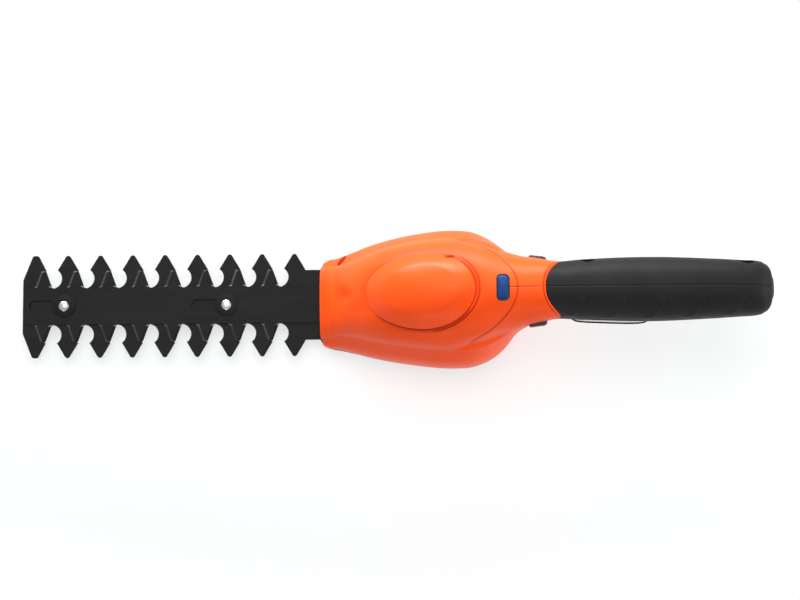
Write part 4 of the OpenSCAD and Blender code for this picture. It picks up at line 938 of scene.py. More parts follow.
def shell_tools(side):
    """What is cut out of a half shell."""
    below = rounded_rect((NOSE_X + SOLE_X) / 2 - OVER / 2, 0, SOLE_X - NOSE_X + OVER, 4 * HALF_W, 0)
    top, bottom = CUTTER_HIGH[2] + NOSE_SLOT_GAP, (GUARD_LOW[2] + CUTTER_HIGH[2]) / 2 - OVER
    slot = rounded_rect(0, (top + bottom) / 2, 2 * NOSE_SLOT_SHARE * GUARD_HIGH[1], top - bottom, 0)
    button = button_outline(BUTTON_GAP + BEZEL_W * BEZEL_ROOM)
    lock = rounded_rect(LOCK_X, LOCK_Z, LOCK_LEN + 2 * CLEAR, LOCK_H + 2 * CLEAR, LOCK_ROUND)
    tools = [
        prism("below", below, -OVER, SOLE_T + SKIN_GAP),
        prism("slot", slot, NOSE_X - OVER, NOSE_X + 3 * WALL, "x"),
        prism("button_room", button, BUTTON_LOW[2], BUTTON_HIGH[2] + OVER),
        prism("lock_room", lock, *sorted([side * (LOCK_LOW[1] - LOCK_ROOM), side * OVER]), "y"),
        trigger_room(),
        plug_room(SOCKET_LOW[0]),
    ]
    if side > 0:
        tools += [well_tool(k) for k in range(len(SCREWS))]
    return tools


def button_outline(grow=0.0):
    """Plan of the button, grown by a gap; its rear edge bulges."""
    plan = rounded_rect(0, 0, BUTTON_LEN + 2 * grow, BUTTON_W + 2 * grow, BUTTON_ROUND + grow, BUTTON_STEPS)
    back = plan[:, 0] > 0
    plan[back, 0] += BUTTON_BULGE * (1 - (plan[back, 1] / (BUTTON_W / 2 + grow)) ** 2) - BUTTON_BULGE / 2
    return plan + [BUTTON_X, 0]


def crown_z(top, y):
    """Height of a surface crowned across the tool."""
    return top - BUTTON_CROWN + np.sqrt(BUTTON_CROWN ** 2 - np.asarray(y) ** 2)


def top_button():
    """Blue button with a crowned, dotted face."""
    top = BUTTON_HIGH[2]
    base = button_outline()
    layers = [(base, BUTTON_LOW[2])]
    for step_in, drop in edge_turns():
        plan = inset(base, BUTTON_EDGE * step_in)
        layers.append((plan, crown_z(top, plan[:, 1]) - BUTTON_EDGE * drop))
    centre = base.mean(0)
    for share in BUTTON_RINGS:
        plan = centre + (inset(base, BUTTON_EDGE) - centre) * share
        layers.append((plan, crown_z(top, plan[:, 1])))
    pieces = [stack("button_cap", layers)]
    front, back = BUTTON_X - BUTTON_LEN / 2 + DOT_FRONT, BUTTON_X + BUTTON_LEN / 2 - DOT_BACK
    for row, x in enumerate(np.arange(front, back, DOT_PITCH * DOT_ROW_SHARE)):
        start = DOT_LEFT - BUTTON_W / 2 + DOT_PITCH / 2 * (row % 2)
        for y in np.arange(start, BUTTON_W / 2 - DOT_RIGHT, DOT_PITCH):
            z = crown_z(top, y)
            foot, tip = circle(x, y, DOT_R, DOT_SIDES), circle(x, y, DOT_R / 2, DOT_SIDES)
            pieces.append(stack("dot", [(foot, z - DOT_H), (foot, z + DOT_H / 3), (tip, z + DOT_H)]))
    return piece(join("blue_button", pieces), "button", BLUE, ["top_button"])


def button_bezel():
    """Black rim that the button stands in."""
    inner, middle, outer = [button_outline(BUTTON_GAP + BEZEL_W * share) for share in (0, 0.5, 1)]
    top, low = BEZEL_HIGH[2], BEZEL_LOW[2]
    layers = [(inner, low), (inner, crown_z(top, inner[:, 1]) - BEZEL_DROP),
              (middle, crown_z(top, middle[:, 1]) + BEZEL_RISE),
              (outer, crown_z(top, outer[:, 1]) - BEZEL_DROP), (outer, low)]
    obj = ring_body("button_rim", [place(plan, z, "z") for plan, z in layers])
    return piece(obj, "body", BLACK, ["button_bezel"])


def lock_face(x):
    """Outer face of a lock button, parallel to the side of the neck."""
    return columns(x)[2] + LOCK_PROUD


def lock_button(name, side, node, body):
    """Side button that follows the neck's slope, with ridges for the thumb."""
    outline = rounded_rect(LOCK_X, LOCK_Z, LOCK_LEN, LOCK_H, LOCK_ROUND, LOCK_STEPS)
    seat = LOCK_LOW[1] + FLANGE_T
    layers = [(outline, side * seat)]
    for step_in, drop in edge_turns():
        plan = inset(outline, LOCK_EDGE * step_in)
        layers.append((plan, side * (lock_face(plan[:, 0]) - LOCK_EDGE * drop)))
    flange = rounded_rect(LOCK_X, LOCK_Z, LOCK_LEN + FLANGE_GROW, LOCK_H + FLANGE_GROW, LOCK_ROUND)
    parts = [stack("cap", layers, "y"),
             prism("flange", flange, *sorted([side * LOCK_LOW[1], side * seat]), "y")]
    for k in range(RIDGE_COUNT):
        x = LOCK_X + (k - (RIDGE_COUNT - 1) / 2) * RIDGE_PITCH
        foot = rounded_rect(x, LOCK_Z, RIDGE_W, LOCK_H - RIDGE_MARGIN, RIDGE_W * RIDGE_ROUND)
        upper = inset(foot, RIDGE_W * RIDGE_INSET)
        heights = [(foot, -RIDGE_ROOT), (foot, RIDGE_H / 2), (upper, RIDGE_H)]
        parts.append(stack("ridge", [(p, side * (lock_face(p[:, 0]) + rise)) for p, rise in heights], "y"))
    return piece(join(name, parts), body, BLACK, [node])


# Pad

# Height of the plateau over the rim, of the rim over the dome, of the sunk skirt, and the rim's radius
PAD_TOP = 2.4
PAD_STAND = 0.6
PAD_SKIRT = 1.6
PAD_ROUND = 1.2
# Shares of the pad's radius at its rim, plateau and middle, and the power of the fall between
PAD_RIM = 0.999
PAD_PLATEAU = 0.64
PAD_MIDDLE = 0.02
PAD_FALL = 1.35
PAD_SIDES = 160
PAD_RINGS = 48
PAD_STEPS = 5
# Screw whose well opens in the pad
PAD_SCREW = 1


def pad_point(a, q):
    """Plan of the pad: angle and share of its radius."""
    return (PAD_MID + PAD_HALF_LEN * q * np.cos(a),
            PAD_HALF_W * q * np.sin(a) * (1 + PAD_EGG * np.cos(a)))


def pad_cover():
    """Raised oval pad with a rounded rim and a plateau."""
    edge = 1 - PAD_ROUND / PAD_HALF_W
    climb = PAD_STAND - PAD_ROUND + PAD_SKIRT
    layers = [(PAD_RIM, k * climb / PAD_STEPS - PAD_SKIRT) for k in range(PAD_STEPS + 1)]
    for turn in QUARTER * np.arange(1, PAD_STEPS + 1) / PAD_STEPS:
        q = edge + (PAD_RIM - edge) * math.cos(turn)
        layers.append((q, PAD_STAND - PAD_ROUND * (1 - math.sin(turn))))
    for q in np.linspace(edge, PAD_MIDDLE, PAD_RINGS)[1:]:
        fall = max((q - PAD_PLATEAU) / (edge - PAD_PLATEAU), 0)
        layers.append((q, PAD_STAND + PAD_TOP * (1 - fall ** PAD_FALL)))
    a = angles(PAD_SIDES)
    loops = []
    for q, rise in layers:
        x, y = pad_point(a, q)
        loops.append(np.stack([x, y, dome_z(x, y) + rise], -1))
    obj = cut_away(loft("pad_cover", loops), [well_tool(PAD_SCREW)])
    return piece(obj, "body", ORANGE_PAD, ["top_pad"])


# Soft grip

# Slanting ribs: count, first place and step in shares of the grip, lean and its bend
RIB_COUNT = 5
RIB_FIRST = 0.121
RIB_STEP = 0.172
RIB_LEAN = 7.5
RIB_BEND = 0.15
# Ribs on the way round the section: where they lie, how far their lean goes on, and how they fade in and out
RIB_LOW = 0.6
RIB_HIGH = 0.93
RIB_PAST = 0.2
RIB_IN = (0.04, 0.06)
RIB_OUT = (0.12, 0.13)
# Ribs along the grip: length and curve of the climb, length of the drop, heights and painted shadow behind
# each
RIB_RUN = 9.0
RIB_CURVE = 1.6
RIB_DROP = 0.7
RIB_LEFT = 0.7
RIB_RIGHT = 0.08
RIB_SHADOW = 0.8
# Rounded front edge and tail, band at the end, and seam on top with painted shade
GRIP_EDGE = 1.1
GRIP_TAIL_ROUND = 0.5
END_BAND = 6.0
END_STEP = 0.25
END_RUN = 0.8
GRIP_SEAM_DEPTH = 0.22
GRIP_SEAM_SHADE = 0.7
# Rows round a section of the grip, and rings along it in shares of its length
GRIP_ROWS = np.concatenate([np.linspace(0, CREASE, 40), np.linspace(CREASE, 0.975, 66)[1:],
                            [0.984, 0.99, 0.9945, 0.9975, 1]])
GRIP_COLUMNS = np.concatenate([np.linspace(0, 0.012, 9), np.linspace(0.012, 0.96, 190)[1:],
                               np.linspace(0.96, 0.9995, 22)[1:]])
# Screws whose wells open in the grip
GRIP_SCREWS = (2, 3)


def grip_relief(x, y, t, side):
    """Relief of the grip and painted shade for its grooves: slanting scale-like steps, the seam on top and
    the end band.
    """
    rise = RIB_LEFT if side < 0 else RIB_RIGHT
    window = eased(t, RIB_LOW - RIB_IN[0], RIB_IN[1]) * (1 - eased(t, RIB_HIGH - RIB_OUT[0], RIB_OUT[1]))
    up = np.clip((t - RIB_LOW) / (RIB_HIGH - RIB_LOW), -RIB_PAST, 1 + RIB_PAST)
    lean = RIB_LEAN * up * (1 + RIB_BEND - RIB_BEND * up)
    seam = bump_line(y, PARTING_HALF)
    groove_and_shade, relief = GRIP_SEAM_SHADE * seam, -GRIP_SEAM_DEPTH * seam
    for i in range(RIB_COUNT):
        past = x - (NECK_X + (RIB_FIRST + i * RIB_STEP) * GRIP_LEN + lean)
        climb = eased(past, -RIB_RUN, RIB_RUN) ** RIB_CURVE
        relief = relief + rise * window * np.where(past < 0, climb, 1 - eased(past, 0, RIB_DROP))
        # Painted shadow line behind each step
        groove_and_shade = groove_and_shade + rise * window * bump_line(past - RIB_DROP, RIB_SHADOW)
    return relief - END_STEP * eased(x, TAIL_X - END_BAND, END_RUN), np.clip(groove_and_shade, 0, 1)


def grip_cover(name, side, node):
    """Black soft half of the grip."""
    t = GRIP_ROWS
    front = grip_front(t)
    x = front + (TAIL_X - front) * GRIP_COLUMNS[:, None]
    near = np.clip(1 - (x - front) / GRIP_EDGE, 0, 1)
    depth = GRIP_EDGE * (1 - np.sqrt(1 - near ** 2))
    y, z = rim(x, t[None, :])
    relief, groove_and_shade = grip_relief(x, y, t[None, :], side)
    grid = displaced(np.stack([x, y, z], -1), relief - depth)
    tail = end_rings(grid[-1], TAIL_X, -GRIP_TAIL_ROUND)
    tools = [trigger_room(), plug_room(SOCKET_HIGH[0] - PLUG_OVER)]
    if side > 0:
        tools += [well_tool(k) for k in GRIP_SCREWS]
    obj = skin(name, side, grid, groove_and_shade, [], tail, SKIN_T - SKIN_GAP, tools)
    return piece(obj, "body", RUBBER, [node])


# Label plate: bare white face in a raised black frame

# Ends in shares of the grip, top over the skirt, height, corner radius and its steps, spacing of points
LABEL_FROM = 0.125
LABEL_TO = 0.46
LABEL_LEN = GRIP_LEN * (LABEL_TO - LABEL_FROM)
LABEL_UP = 2.0
LABEL_TALL = 10.0
LABEL_ROUND = 3.0
LABEL_STEPS = 8
LABEL_SPACING = 2.0
# Height of the face over the skirt, how much further its foot stands out, and how its ends dive in
LABEL_RISE = -0.35
LABEL_SLANT = 0.5
LABEL_DIVE = 1.2
LABEL_DIVE_POWER = 8
LABEL_SINK = 4.0
# Face: first share, last share and count of points along and up, and its thickness
FACE_ALONG = (0.02, 0.98, 40)
FACE_UP = (0.06, 0.94, 8)
FACE_T = 0.35
# Frame: width, rise over the face, how much less it stands at its top, and the share that is rounded
FRAME_W = 1.1
FRAME_RISE = 0.95
FRAME_FADE = 0.8
FRAME_ROUND = 0.3


def label_point(u, v, rise):
    """Point of the label on the left-hand side: shares along and up, and height over its seat."""
    u, v = np.broadcast_arrays(np.asarray(u, float), np.asarray(v, float))
    x = NECK_X + GRIP_LEN * (LABEL_FROM + (LABEL_TO - LABEL_FROM) * u)
    skirt_z, skirt = columns(x)[1:3]
    dive = LABEL_DIVE * (2 * np.clip(u, 0, 1) - 1) ** LABEL_DIVE_POWER
    y = skirt + rise + LABEL_SLANT * (1 - v) - dive
    return np.stack([x, -y, skirt_z + LABEL_UP - LABEL_TALL * (1 - v)], -1)


def label_loop(margin, rise):
    """Loop round the label, set in by a margin, with round corners and standing up least at the top."""
    length, height = LABEL_LEN - 2 * margin, LABEL_TALL - 2 * margin
    plan = rounded_rect(LABEL_LEN / 2, LABEL_TALL / 2, length, height, LABEL_ROUND - margin, LABEL_STEPS)
    dense = []
    for p, q in zip(plan, np.roll(plan, -1, 0)):
        count = max(int(np.linalg.norm(q - p) / LABEL_SPACING), 1)
        dense += [p + (q - p) * k / count for k in range(count)]
    along, up = np.array(dense).T / [[LABEL_LEN], [LABEL_TALL]]
    return label_point(along, up, rise * (1 - FRAME_FADE * up) if rise > 0 else rise)


def label():
    """White plate and the black frame round it."""
    u, v = np.meshgrid(np.linspace(*FACE_ALONG), np.linspace(*FACE_UP), indexing="ij")
    top = label_point(u, v, LABEL_RISE)
    face = new_object("label_face", top.reshape(-1, 3), grid_quads(*top.shape[:2]))
    piece(outward(thicken(face, FACE_T, 0)), "body", WHITE, ["label_plate"])
    rise = LABEL_RISE + FRAME_RISE
    shoulder = rise * (1 - FRAME_ROUND)
    profile = [(0, -LABEL_SINK), (0, shoulder), (FRAME_ROUND, rise), (1 - FRAME_ROUND, rise), (1, shoulder),
               (1, -LABEL_SINK)]
    rim_frame = ring_body("label_frame", [label_loop(FRAME_W * share, up) for share, up in profile])
    return piece(rim_frame, "body", WELL_SHADE_AND_FRAME)


# Blades

# Fixed comb: teeth, tips, barbed corners, gullets and shank
TOOTH_PITCH = 19.44
TEETH = 9
FIRST_TOOTH = GUARD_LOW[0] + 7.4
GUARD_REACH = GUARD_HIGH[1]
FRONT_HALF = 0.52 * GUARD_REACH
FRONT_ROUND = 1.5
TIP_HALF = 0.9
FIRST_TIP_HALF = 1.6
TIP_ROUND = 1.4
CORNER_HALF = 6.1
CORNER_LAND = 0.3
CORNER_ROUND = 0.35
CORNER_Y = GUARD_REACH - 8.7
GULLET_R = 6.1
GULLET_STEPS = 28
SHANK_HALF = 21.0
SHANK_ROUND = 2.0
BLADE_STEPS = 4
BLADE_EDGE = 0.12
# Sliding comb: teeth, spine and yoke
CUTTER_SHIFT = 5.0
CUTTER_REACH = CUTTER_HIGH[1]
CUTTER_ROUND = 1.0
SPINE_HALF = 10.9
ROOT_HALF = 4.9
ROOT_STEP = 1.0
CUT_TIP_HALF = 1.4
CUT_ROUND = 0.5
YOKE_HALF = 13.2
# Slot of the yoke round the crank roller
YOKE_X = -TOOTH_PITCH / 4
YOKE_SLOT_HALF = 5.5
YOKE_SLOT_REACH = 9.16
# Ground edges: width, height, how much they take off a tip's half width and reach, and the reach of the
# painted highlight at the roots
GRIND_W = 1.5
GRIND_H = 1.1
GRIND_TIP = 0.8
GRIND_REACH = 0.6
GROUND_TIP_HALF = 0.4
ROOT_HIGHLIGHT_REACH = 1.6
# Slots along the cutter for the rivets
SLOT_R = 3.6
SLOT_REACH = 17.4
SLOT_ROUND = 0.98 * SLOT_R
SLOT_STEPS = 8
CUT_OVER = 1.0
# Rivets: radii of the tail, its edge, shank, hole, collar and head, and of the pole where the loops close
RIVET_TAIL_R = 4.0
RIVET_TAIL_EDGE = 0.4
RIVET_SHANK_R = 2.5
RIVET_HOLE_R = 2.55
RIVET_COLLAR_R = 3.2
RIVET_R = 3.05
RIVET_POLE_R = 0.3
RIVETS = [(RIVET_LOW[0] + RIVET_TAIL_R, 0), (RIVET_HIGH[0] - RIVET_TAIL_R, 0)]
# Inset and height over the seat up the head's side, then inset and drop below its top
RIVET_SIDE = [(0.15, 0.0), (0.0, 0.15), (0.0, 0.6), (0.25, 0.95)]
RIVET_CROWN = [(0.9, 0.28), (1.7, 0.08)]
# Notch at the lower edge of a head: length, width, corner radius and height over the seat
NOTCH = (1.1, 1.3, 0.3)
NOTCH_UP = 0.5
# Washers: radius of the hole, and inset and drop over the rim
WASHER_HOLE_R = 2.53
WASHER_EDGE = [(0.5, 0.0), (0.15, 0.15), (0.0, 0.4)]


def mirrored(points, radii):
    """Outline from one side's points, carried on round the other side."""
    other = [(x, -y) for x, y in reversed(points)]
    return np.array(points + other), list(radii) + list(reversed(radii))


def guard_outline():
    """Outline of the fixed comb with rounded tips, barbed corners and round gullets."""
    points, radii = [(GUARD_LOW[0], FRONT_HALF)], [FRONT_ROUND]
    mouth = TOOTH_PITCH / 2 - CORNER_HALF - CORNER_LAND
    drop = math.sqrt(GULLET_R ** 2 - mouth ** 2)
    start = math.atan2(drop, -mouth)
    sweep = 2 * np.pi - 2 * (start - np.pi / 2)
    for i in range(TEETH):
        x = FIRST_TOOTH + i * TOOTH_PITCH
        if i > 0:
            points.append((x - CORNER_HALF, CORNER_Y))
            radii.append(CORNER_ROUND)
        tip = FIRST_TIP_HALF if i == 0 else TIP_HALF
        points += [(x - tip, GUARD_REACH), (x + tip, GUARD_REACH), (x + CORNER_HALF, CORNER_Y)]
        radii += [TIP_ROUND, TIP_ROUND, CORNER_ROUND]
        if i < TEETH - 1:
            for k in range(GULLET_STEPS + 1):
                a = start + sweep * k / GULLET_STEPS
                points.append((x + TOOTH_PITCH / 2 + GULLET_R * math.cos(a),
                               CORNER_Y - drop + GULLET_R * math.sin(a)))
                radii.append(0)
    last = FIRST_TOOTH + (TEETH - 1) * TOOTH_PITCH
    points += [(last + CORNER_HALF + CORNER_LAND, SHANK_HALF), (GUARD_HIGH[0], SHANK_HALF)]
    radii += [SHANK_ROUND, 0]
    return rounded(*mirrored(points, radii), BLADE_STEPS)


def plate(name, outlines, low, high, edge):
    """Flat plate with softened edges; every outline after the first is a hole."""
    data = bpy.data.curves.new(name, "CURVE")
    data.dimensions = "2D"
    data.fill_mode = "BOTH"
    data.extrude = ((high - low) / 2 - edge) * MM
    data.bevel_depth = edge * MM
    data.bevel_resolution = 1
    data.offset = -edge * MM
    for outline in outlines:
        spline = data.splines.new("POLY")
        spline.points.add(len(outline) - 1)
        for point, (x, y) in zip(spline.points, outline):
            point.co = (x * MM, y * MM, 0, 1)
        spline.use_cyclic_u = True
    drawn = linked(name + "_drawn", data)
    mesh = made_mesh(drawn)
    mesh.transform(Matrix.Translation((0, 0, (low + high) / 2 * MM)))
    bpy.data.objects.remove(drawn)
    return linked(name, mesh)


def guard_plate():
    """Fixed lower comb."""
    holes = [circle(x, y, RIVET_HOLE_R) for x, y in RIVETS]
    obj = plate("guard_comb", [guard_outline()] + holes, GUARD_LOW[2], GUARD_HIGH[2], BLADE_EDGE)
    return piece(obj, "body", BLADE, ["guard_blade"], sharp=25)


def cutter_outline(grind):
    """Outline of the sliding comb; grind narrows its teeth towards the top."""
    points, radii = [(CUTTER_LOW[0], SPINE_HALF)], [CUTTER_ROUND]
    root, tip = ROOT_HALF - grind, max(CUT_TIP_HALF - grind * GRIND_TIP, GROUND_TIP_HALF)
    reach = CUTTER_REACH - grind * GRIND_REACH
    tooth = [(-ROOT_HALF - ROOT_STEP, SPINE_HALF), (-root, SPINE_HALF + ROOT_STEP), (-tip, reach),
             (tip, reach), (root, SPINE_HALF + ROOT_STEP), (ROOT_HALF + ROOT_STEP, SPINE_HALF)]
    for i in range(TEETH - 1):
        x = FIRST_TOOTH + CUTTER_SHIFT + i * TOOTH_PITCH
        points += [(x + u, v) for u, v in tooth]
        radii += [CUT_ROUND] * len(tooth)
    shoulder = NOSE_X + YOKE_HALF - SPINE_HALF
    points += [(NOSE_X, SPINE_HALF), (shoulder, YOKE_HALF), (CUTTER_HIGH[0], YOKE_HALF)]
    radii += [0, 0, 0]
    return rounded(*mirrored(points, radii), BLADE_STEPS)


def cutter_plate():
    """Sliding upper comb with ground tooth edges: bare steel on lit flanks, dark coat as painted shade on
    the others, painted highlight at the roots.
    """
    low, high = CUTTER_LOW[2], CUTTER_HIGH[2]
    base, ground = cutter_outline(0), cutter_outline(GRIND_W)
    obj = stack("cutter_comb", [(base, low), (base, high - GRIND_H), (ground, high)])
    cols = len(base)
    moved = np.linalg.norm(base - ground, axis=1) > GRIND_W / 2
    for material in (BLADE, GROUND, ROOT_HIGHLIGHT):
        obj.data.materials.append(material)
    for face in obj.data.polygons:
        loop = [k % cols for k in face.vertices]
        rows = {k // cols for k in face.vertices}
        if rows == {1, 2} and len(loop) == 4 and any(moved[k] for k in loop):
            x, reach = base[loop, 0].mean(), np.abs(base[loop, 1]).max()
            # Flanks ahead of each tooth face the light and get ground steel; the flanks behind keep the dark
            # coat as painted shade
            ahead = (x - FIRST_TOOTH - CUTTER_SHIFT + TOOTH_PITCH / 2) % TOOTH_PITCH < TOOTH_PITCH / 2
            face.material_index = 2 if reach < SPINE_HALF + ROOT_HIGHLIGHT_REACH else 1 if ahead else 0
    cuts = [rounded_rect(x - SLOT_REACH / 2, y, SLOT_REACH + 2 * SLOT_R, 2 * SLOT_R, SLOT_ROUND, SLOT_STEPS)
            for x, y in RIVETS]
    cuts.append(rounded_rect(YOKE_X, 0, 2 * YOKE_SLOT_HALF, 2 * YOKE_SLOT_REACH, YOKE_SLOT_HALF / 2))
    tools = [prism("slot", cut, low - CUT_OVER, high + CUT_OVER) for cut in cuts]
    return piece(cut_away(obj, tools), "cutter", None, ["cutter_blade"], sharp=20)


def rivets():
    """Two domed rivets with a small notch at the lower edge of their heads."""
    low, seat, top = RIVET_LOW[2], WASHER_HIGH[2], RIVET_HIGH[2]
    profile = [(RIVET_POLE_R, low), (RIVET_TAIL_R - RIVET_TAIL_EDGE, low),
               (RIVET_TAIL_R, low + RIVET_TAIL_EDGE), (RIVET_TAIL_R, GUARD_LOW[2]),
               (RIVET_SHANK_R, GUARD_LOW[2]), (RIVET_SHANK_R, GUARD_HIGH[2]),
               (RIVET_COLLAR_R, GUARD_HIGH[2]), (RIVET_COLLAR_R, WASHER_LOW[2]),
               (RIVET_SHANK_R, WASHER_LOW[2]), (RIVET_SHANK_R, seat)]
    profile += [(RIVET_R - step_in, seat + up) for step_in, up in RIVET_SIDE]
    profile += [(RIVET_R - step_in, top - drop) for step_in, drop in RIVET_CROWN] + [(RIVET_POLE_R, top)]
    parts = []
    for x, y in RIVETS:
        notch = prism("notch", rounded_rect(x, y - RIVET_R, *NOTCH), seat + NOTCH_UP, top + CUT_OVER)
        parts.append(cut_away(loft("rivet", lathe(profile, (x, y))), [notch]))
    return piece(join("rivet_pair", parts), "body", BRIGHT, ["blade_rivets"], sharp=40)


def washers():
    """Two black washers with a rounded rim."""
    low, high = WASHER_LOW[2], WASHER_HIGH[2]
    outer = (WASHER_HIGH[0] - WASHER_LOW[0] - (RIVETS[1][0] - RIVETS[0][0])) / 2
    profile = [(WASHER_HOLE_R, low), (WASHER_HOLE_R, high)]
    profile += [(outer - step_in, high - drop) for step_in, drop in WASHER_EDGE] + [(outer, low)]
    parts = [ring_body("washer", lathe(profile, centre)) for centre in RIVETS]
    return piece(join("washer_pair", parts), "body", WASHER, ["rivet_washers"])


# Sole

SOLE_CHAMFER = 1.2
SOLE_STEPS = 60
SOLE_CORNER = 8.0
SOLE_CORNER_STEPS = 10
SOLE_SCREW_R = 3.1
SOLE_SCREW_DEEP = 3.5


def sole():
    """Flat foot with a chamfered lower edge and sunk screws."""
    corner = np.sin(np.linspace(0, QUARTER, SOLE_CORNER_STEPS + 1))[1:]
    x = np.concatenate([np.linspace(NOSE_X, SOLE_X - SOLE_CORNER, SOLE_STEPS),
                        SOLE_X - SOLE_CORNER * (1 - corner)])
    half = side_y(x, SOLE_T)
    half[-SOLE_CORNER_STEPS:] -= SOLE_CORNER * (1 - np.sqrt(1 - corner ** 2))
    outline = np.concatenate([np.stack([x, half], -1), np.stack([x[::-1], -half[::-1]], -1)])
    obj = stack("sole_foot", [(inset(outline, SOLE_CHAMFER), 0), (outline, SOLE_CHAMFER), (outline, SOLE_T)])
    points = np.array([v.co for v in frame["nodes"]["sole_screws"].data.vertices]) / MM
    middle = points[:, 0].mean()
    tools = []
    for sx in (-1, 1):
        for sy in (-1, 1):
            group = points[(np.sign(points[:, 0] - middle) == sx) & (np.sign(points[:, 1]) == sy)]
            centre = (group.min(0) + group.max(0)) / 2
            hole = circle(centre[0], centre[1], SOLE_SCREW_R)
            tools.append(prism("sunk", hole, -CUT_OVER, SOLE_SCREW_DEEP))
    return piece(cut_away(obj, tools), "body", BLACK, ["sole_plate"], sharp=30)


# Trigger

# Hub round the pin and its arc; heights over and under the pin; hollow for the finger; heel and edges
HUB_R = 4.5
HUB_ARC = np.radians(np.linspace(80, 190, 12))
TRIGGER_RISE = 0.8
TRIGGER_DROP = 9.5
TRIGGER_CHIN = 1.0
HOLLOW_R = 26.0
HOLLOW_SHARE = 0.36
HOLLOW_STEPS = 14
HEEL_BACK = 0.3
HEEL_DROP = 0.2
TRIGGER_EDGE = 1.1
TRIGGER_BORE_R = 1.56


def trigger():
    """Trigger with a hollow for the finger and rounded edges."""
    end = TRIGGER_HIGH[0] - TRIGGER_X
    hub = [(HUB_R * math.cos(a), HUB_R * math.sin(a)) for a in HUB_ARC]
    reach = end * HOLLOW_SHARE
    lift = math.sqrt(HOLLOW_R ** 2 - reach ** 2) + TRIGGER_DROP + TRIGGER_RISE / 2
    hollow = [(end / 2 + TRIGGER_RISE + u, math.sqrt(HOLLOW_R ** 2 - u ** 2) - lift)
              for u in np.linspace(-reach, reach, HOLLOW_STEPS)]
    front = [(-HUB_R, -HUB_R), (0, TRIGGER_CHIN - TRIGGER_DROP)]
    heel = [(end - HEEL_BACK, -TRIGGER_DROP - HEEL_DROP)]
    outline = np.array([(end, TRIGGER_RISE - HUB_R)] + hub + front + hollow + heel) + [TRIGGER_X, TRIGGER_Z]
    half = TRIGGER_HIGH[1]
    rounds = [(inset(outline, TRIGGER_EDGE * step_in), half - TRIGGER_EDGE * out)
              for out, step_in in edge_turns()]
    layers = [(plan, -y) for plan, y in rounds] + rounds[::-1]
    hole = circle(TRIGGER_X, TRIGGER_Z, TRIGGER_BORE_R)
    bore = prism("bore", hole, -half - CUT_OVER, half + CUT_OVER, "y")
    obj = cut_away(stack("trigger_lever", layers, "y"), [bore])
    return piece(obj, "trigger", BLACK, ["trigger"], sharp=30)


# Springs

WIRE_R = 0.35
WIRE_SIDES = 8
COIL_PITCH = 1.3
COIL_LEAST = 3
COIL_STEPS = 20
# Piece, CAD ring, axis, joint, travel, and the end that stays: 1 the high one, -1 the low one
SPRINGS = [
    ("trigger_coil", "trigger_spring", "z", "trigger_pull", 4.2, 1),
    ("button_coil", "button_spring", "z", "button_press", 1.8, -1),
    ("left_lock_coil", "left_lock_spring", "y", "left_lock_press", 3, 1),
    ("right_lock_coil", "right_lock_spring", "y", "right_lock_press", 3, -1),
]


def spring(name, node, axis, joint, travel, towards):
    """Coil spring in the room of its CAD ring."""
    low, high = box_mm(node)
    k = "xyz".index(axis)
    first, second = [i for i in range(3) if i != k]
    axial = np.eye(3)[k]
    length = high[k] - low[k]
    radius = (high[first] - low[first]) / 2 - WIRE_R
    turns = max(int(length / COIL_PITCH), COIL_LEAST)
    steps = turns * COIL_STEPS
    centre = (low + high) / 2
    wires = []
    for i in range(steps + 1):
        a = 2 * np.pi * turns * i / steps
        radial = math.cos(a) * np.eye(3)[first] + math.sin(a) * np.eye(3)[second]
        middle = centre + radius * radial
        middle[k] = low[k] + WIRE_R + (length - 2 * WIRE_R) * i / steps
        wires.append([middle + WIRE_R * (math.cos(b) * radial + math.sin(b) * axial)
                      for b in angles(WIRE_SIDES)])
    obj = piece(loft(name, wires), "body", SPRING, [node])
    anchor = centre.copy()
    anchor[k] = high[k] if towards > 0 else low[k]
    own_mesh(obj)


half_shell("left_half", -1, "left_shell")
half_shell("right_half", 1, "right_shell")
screw_wells()
pad_cover()
top_button()
button_bezel()
grip_cover("left_grip_cover", -1, "left_grip")
grip_cover("right_grip_cover", 1, "right_grip")
label()
lock_button("left_lock", -1, "left_lock_button", "left_lock")
lock_button("right_lock", 1, "right_lock_button", "right_lock")
guard_plate()
cutter_plate()
rivets()
washers()
sole()
trigger()
for spring_values in SPRINGS:
    spring(*spring_values)

# Floor, light and camera

# Floor: half size and colour, glow for the camera, drop below the tool in metres,
# and the ring where it turns plain white: its two distances in metres and how much closer it is across
FLOOR_HALF = 1150.0
FLOOR_TONE = (0.55, 0.563, 0.565)
FLOOR_GLOW = 0.15
FLOOR_DROP = 0.0003
FLOOR_FADE = (0.27, 0.42)
FLOOR_SQUEEZE = 2.2
# Soft boxes: place in metres, size in metres, power and whether it throws a shadow; all aim at one spot
SOFT_BOXES = [
    ("side_box", (-0.3, 1.2, 0.45), (1.3, 0.5), 43.0, False),
    ("low_box", (-0.1, -1.1, 0.35), (1.0, 0.15), 2.2, False),
    ("top_box", (-0.05, 0.32, 1.4), (1.0, 1.0), 9.0, True),
    ("end_box", (1.1, 0.0, 0.45), (0.8, 0.5), 7.0, False),
]
LIGHT_AIM = (0, 0, 0.04)
# Strength of the surroundings as light, and as what the camera and glossy surfaces see
WORLD_LEVEL = 0.36
WORLD_SEEN = 1.0
# Camera: aim, distance, lean from the vertical and roll in degrees, lens, sensor, and far end in metres
AIM = (9.7, 2.3, 12.0)
DISTANCE = 1100.0
LEAN = 6.3
ROLL = 0.5
LENS = 82.5
SENSOR = 36.0
CAMERA_FAR = 20


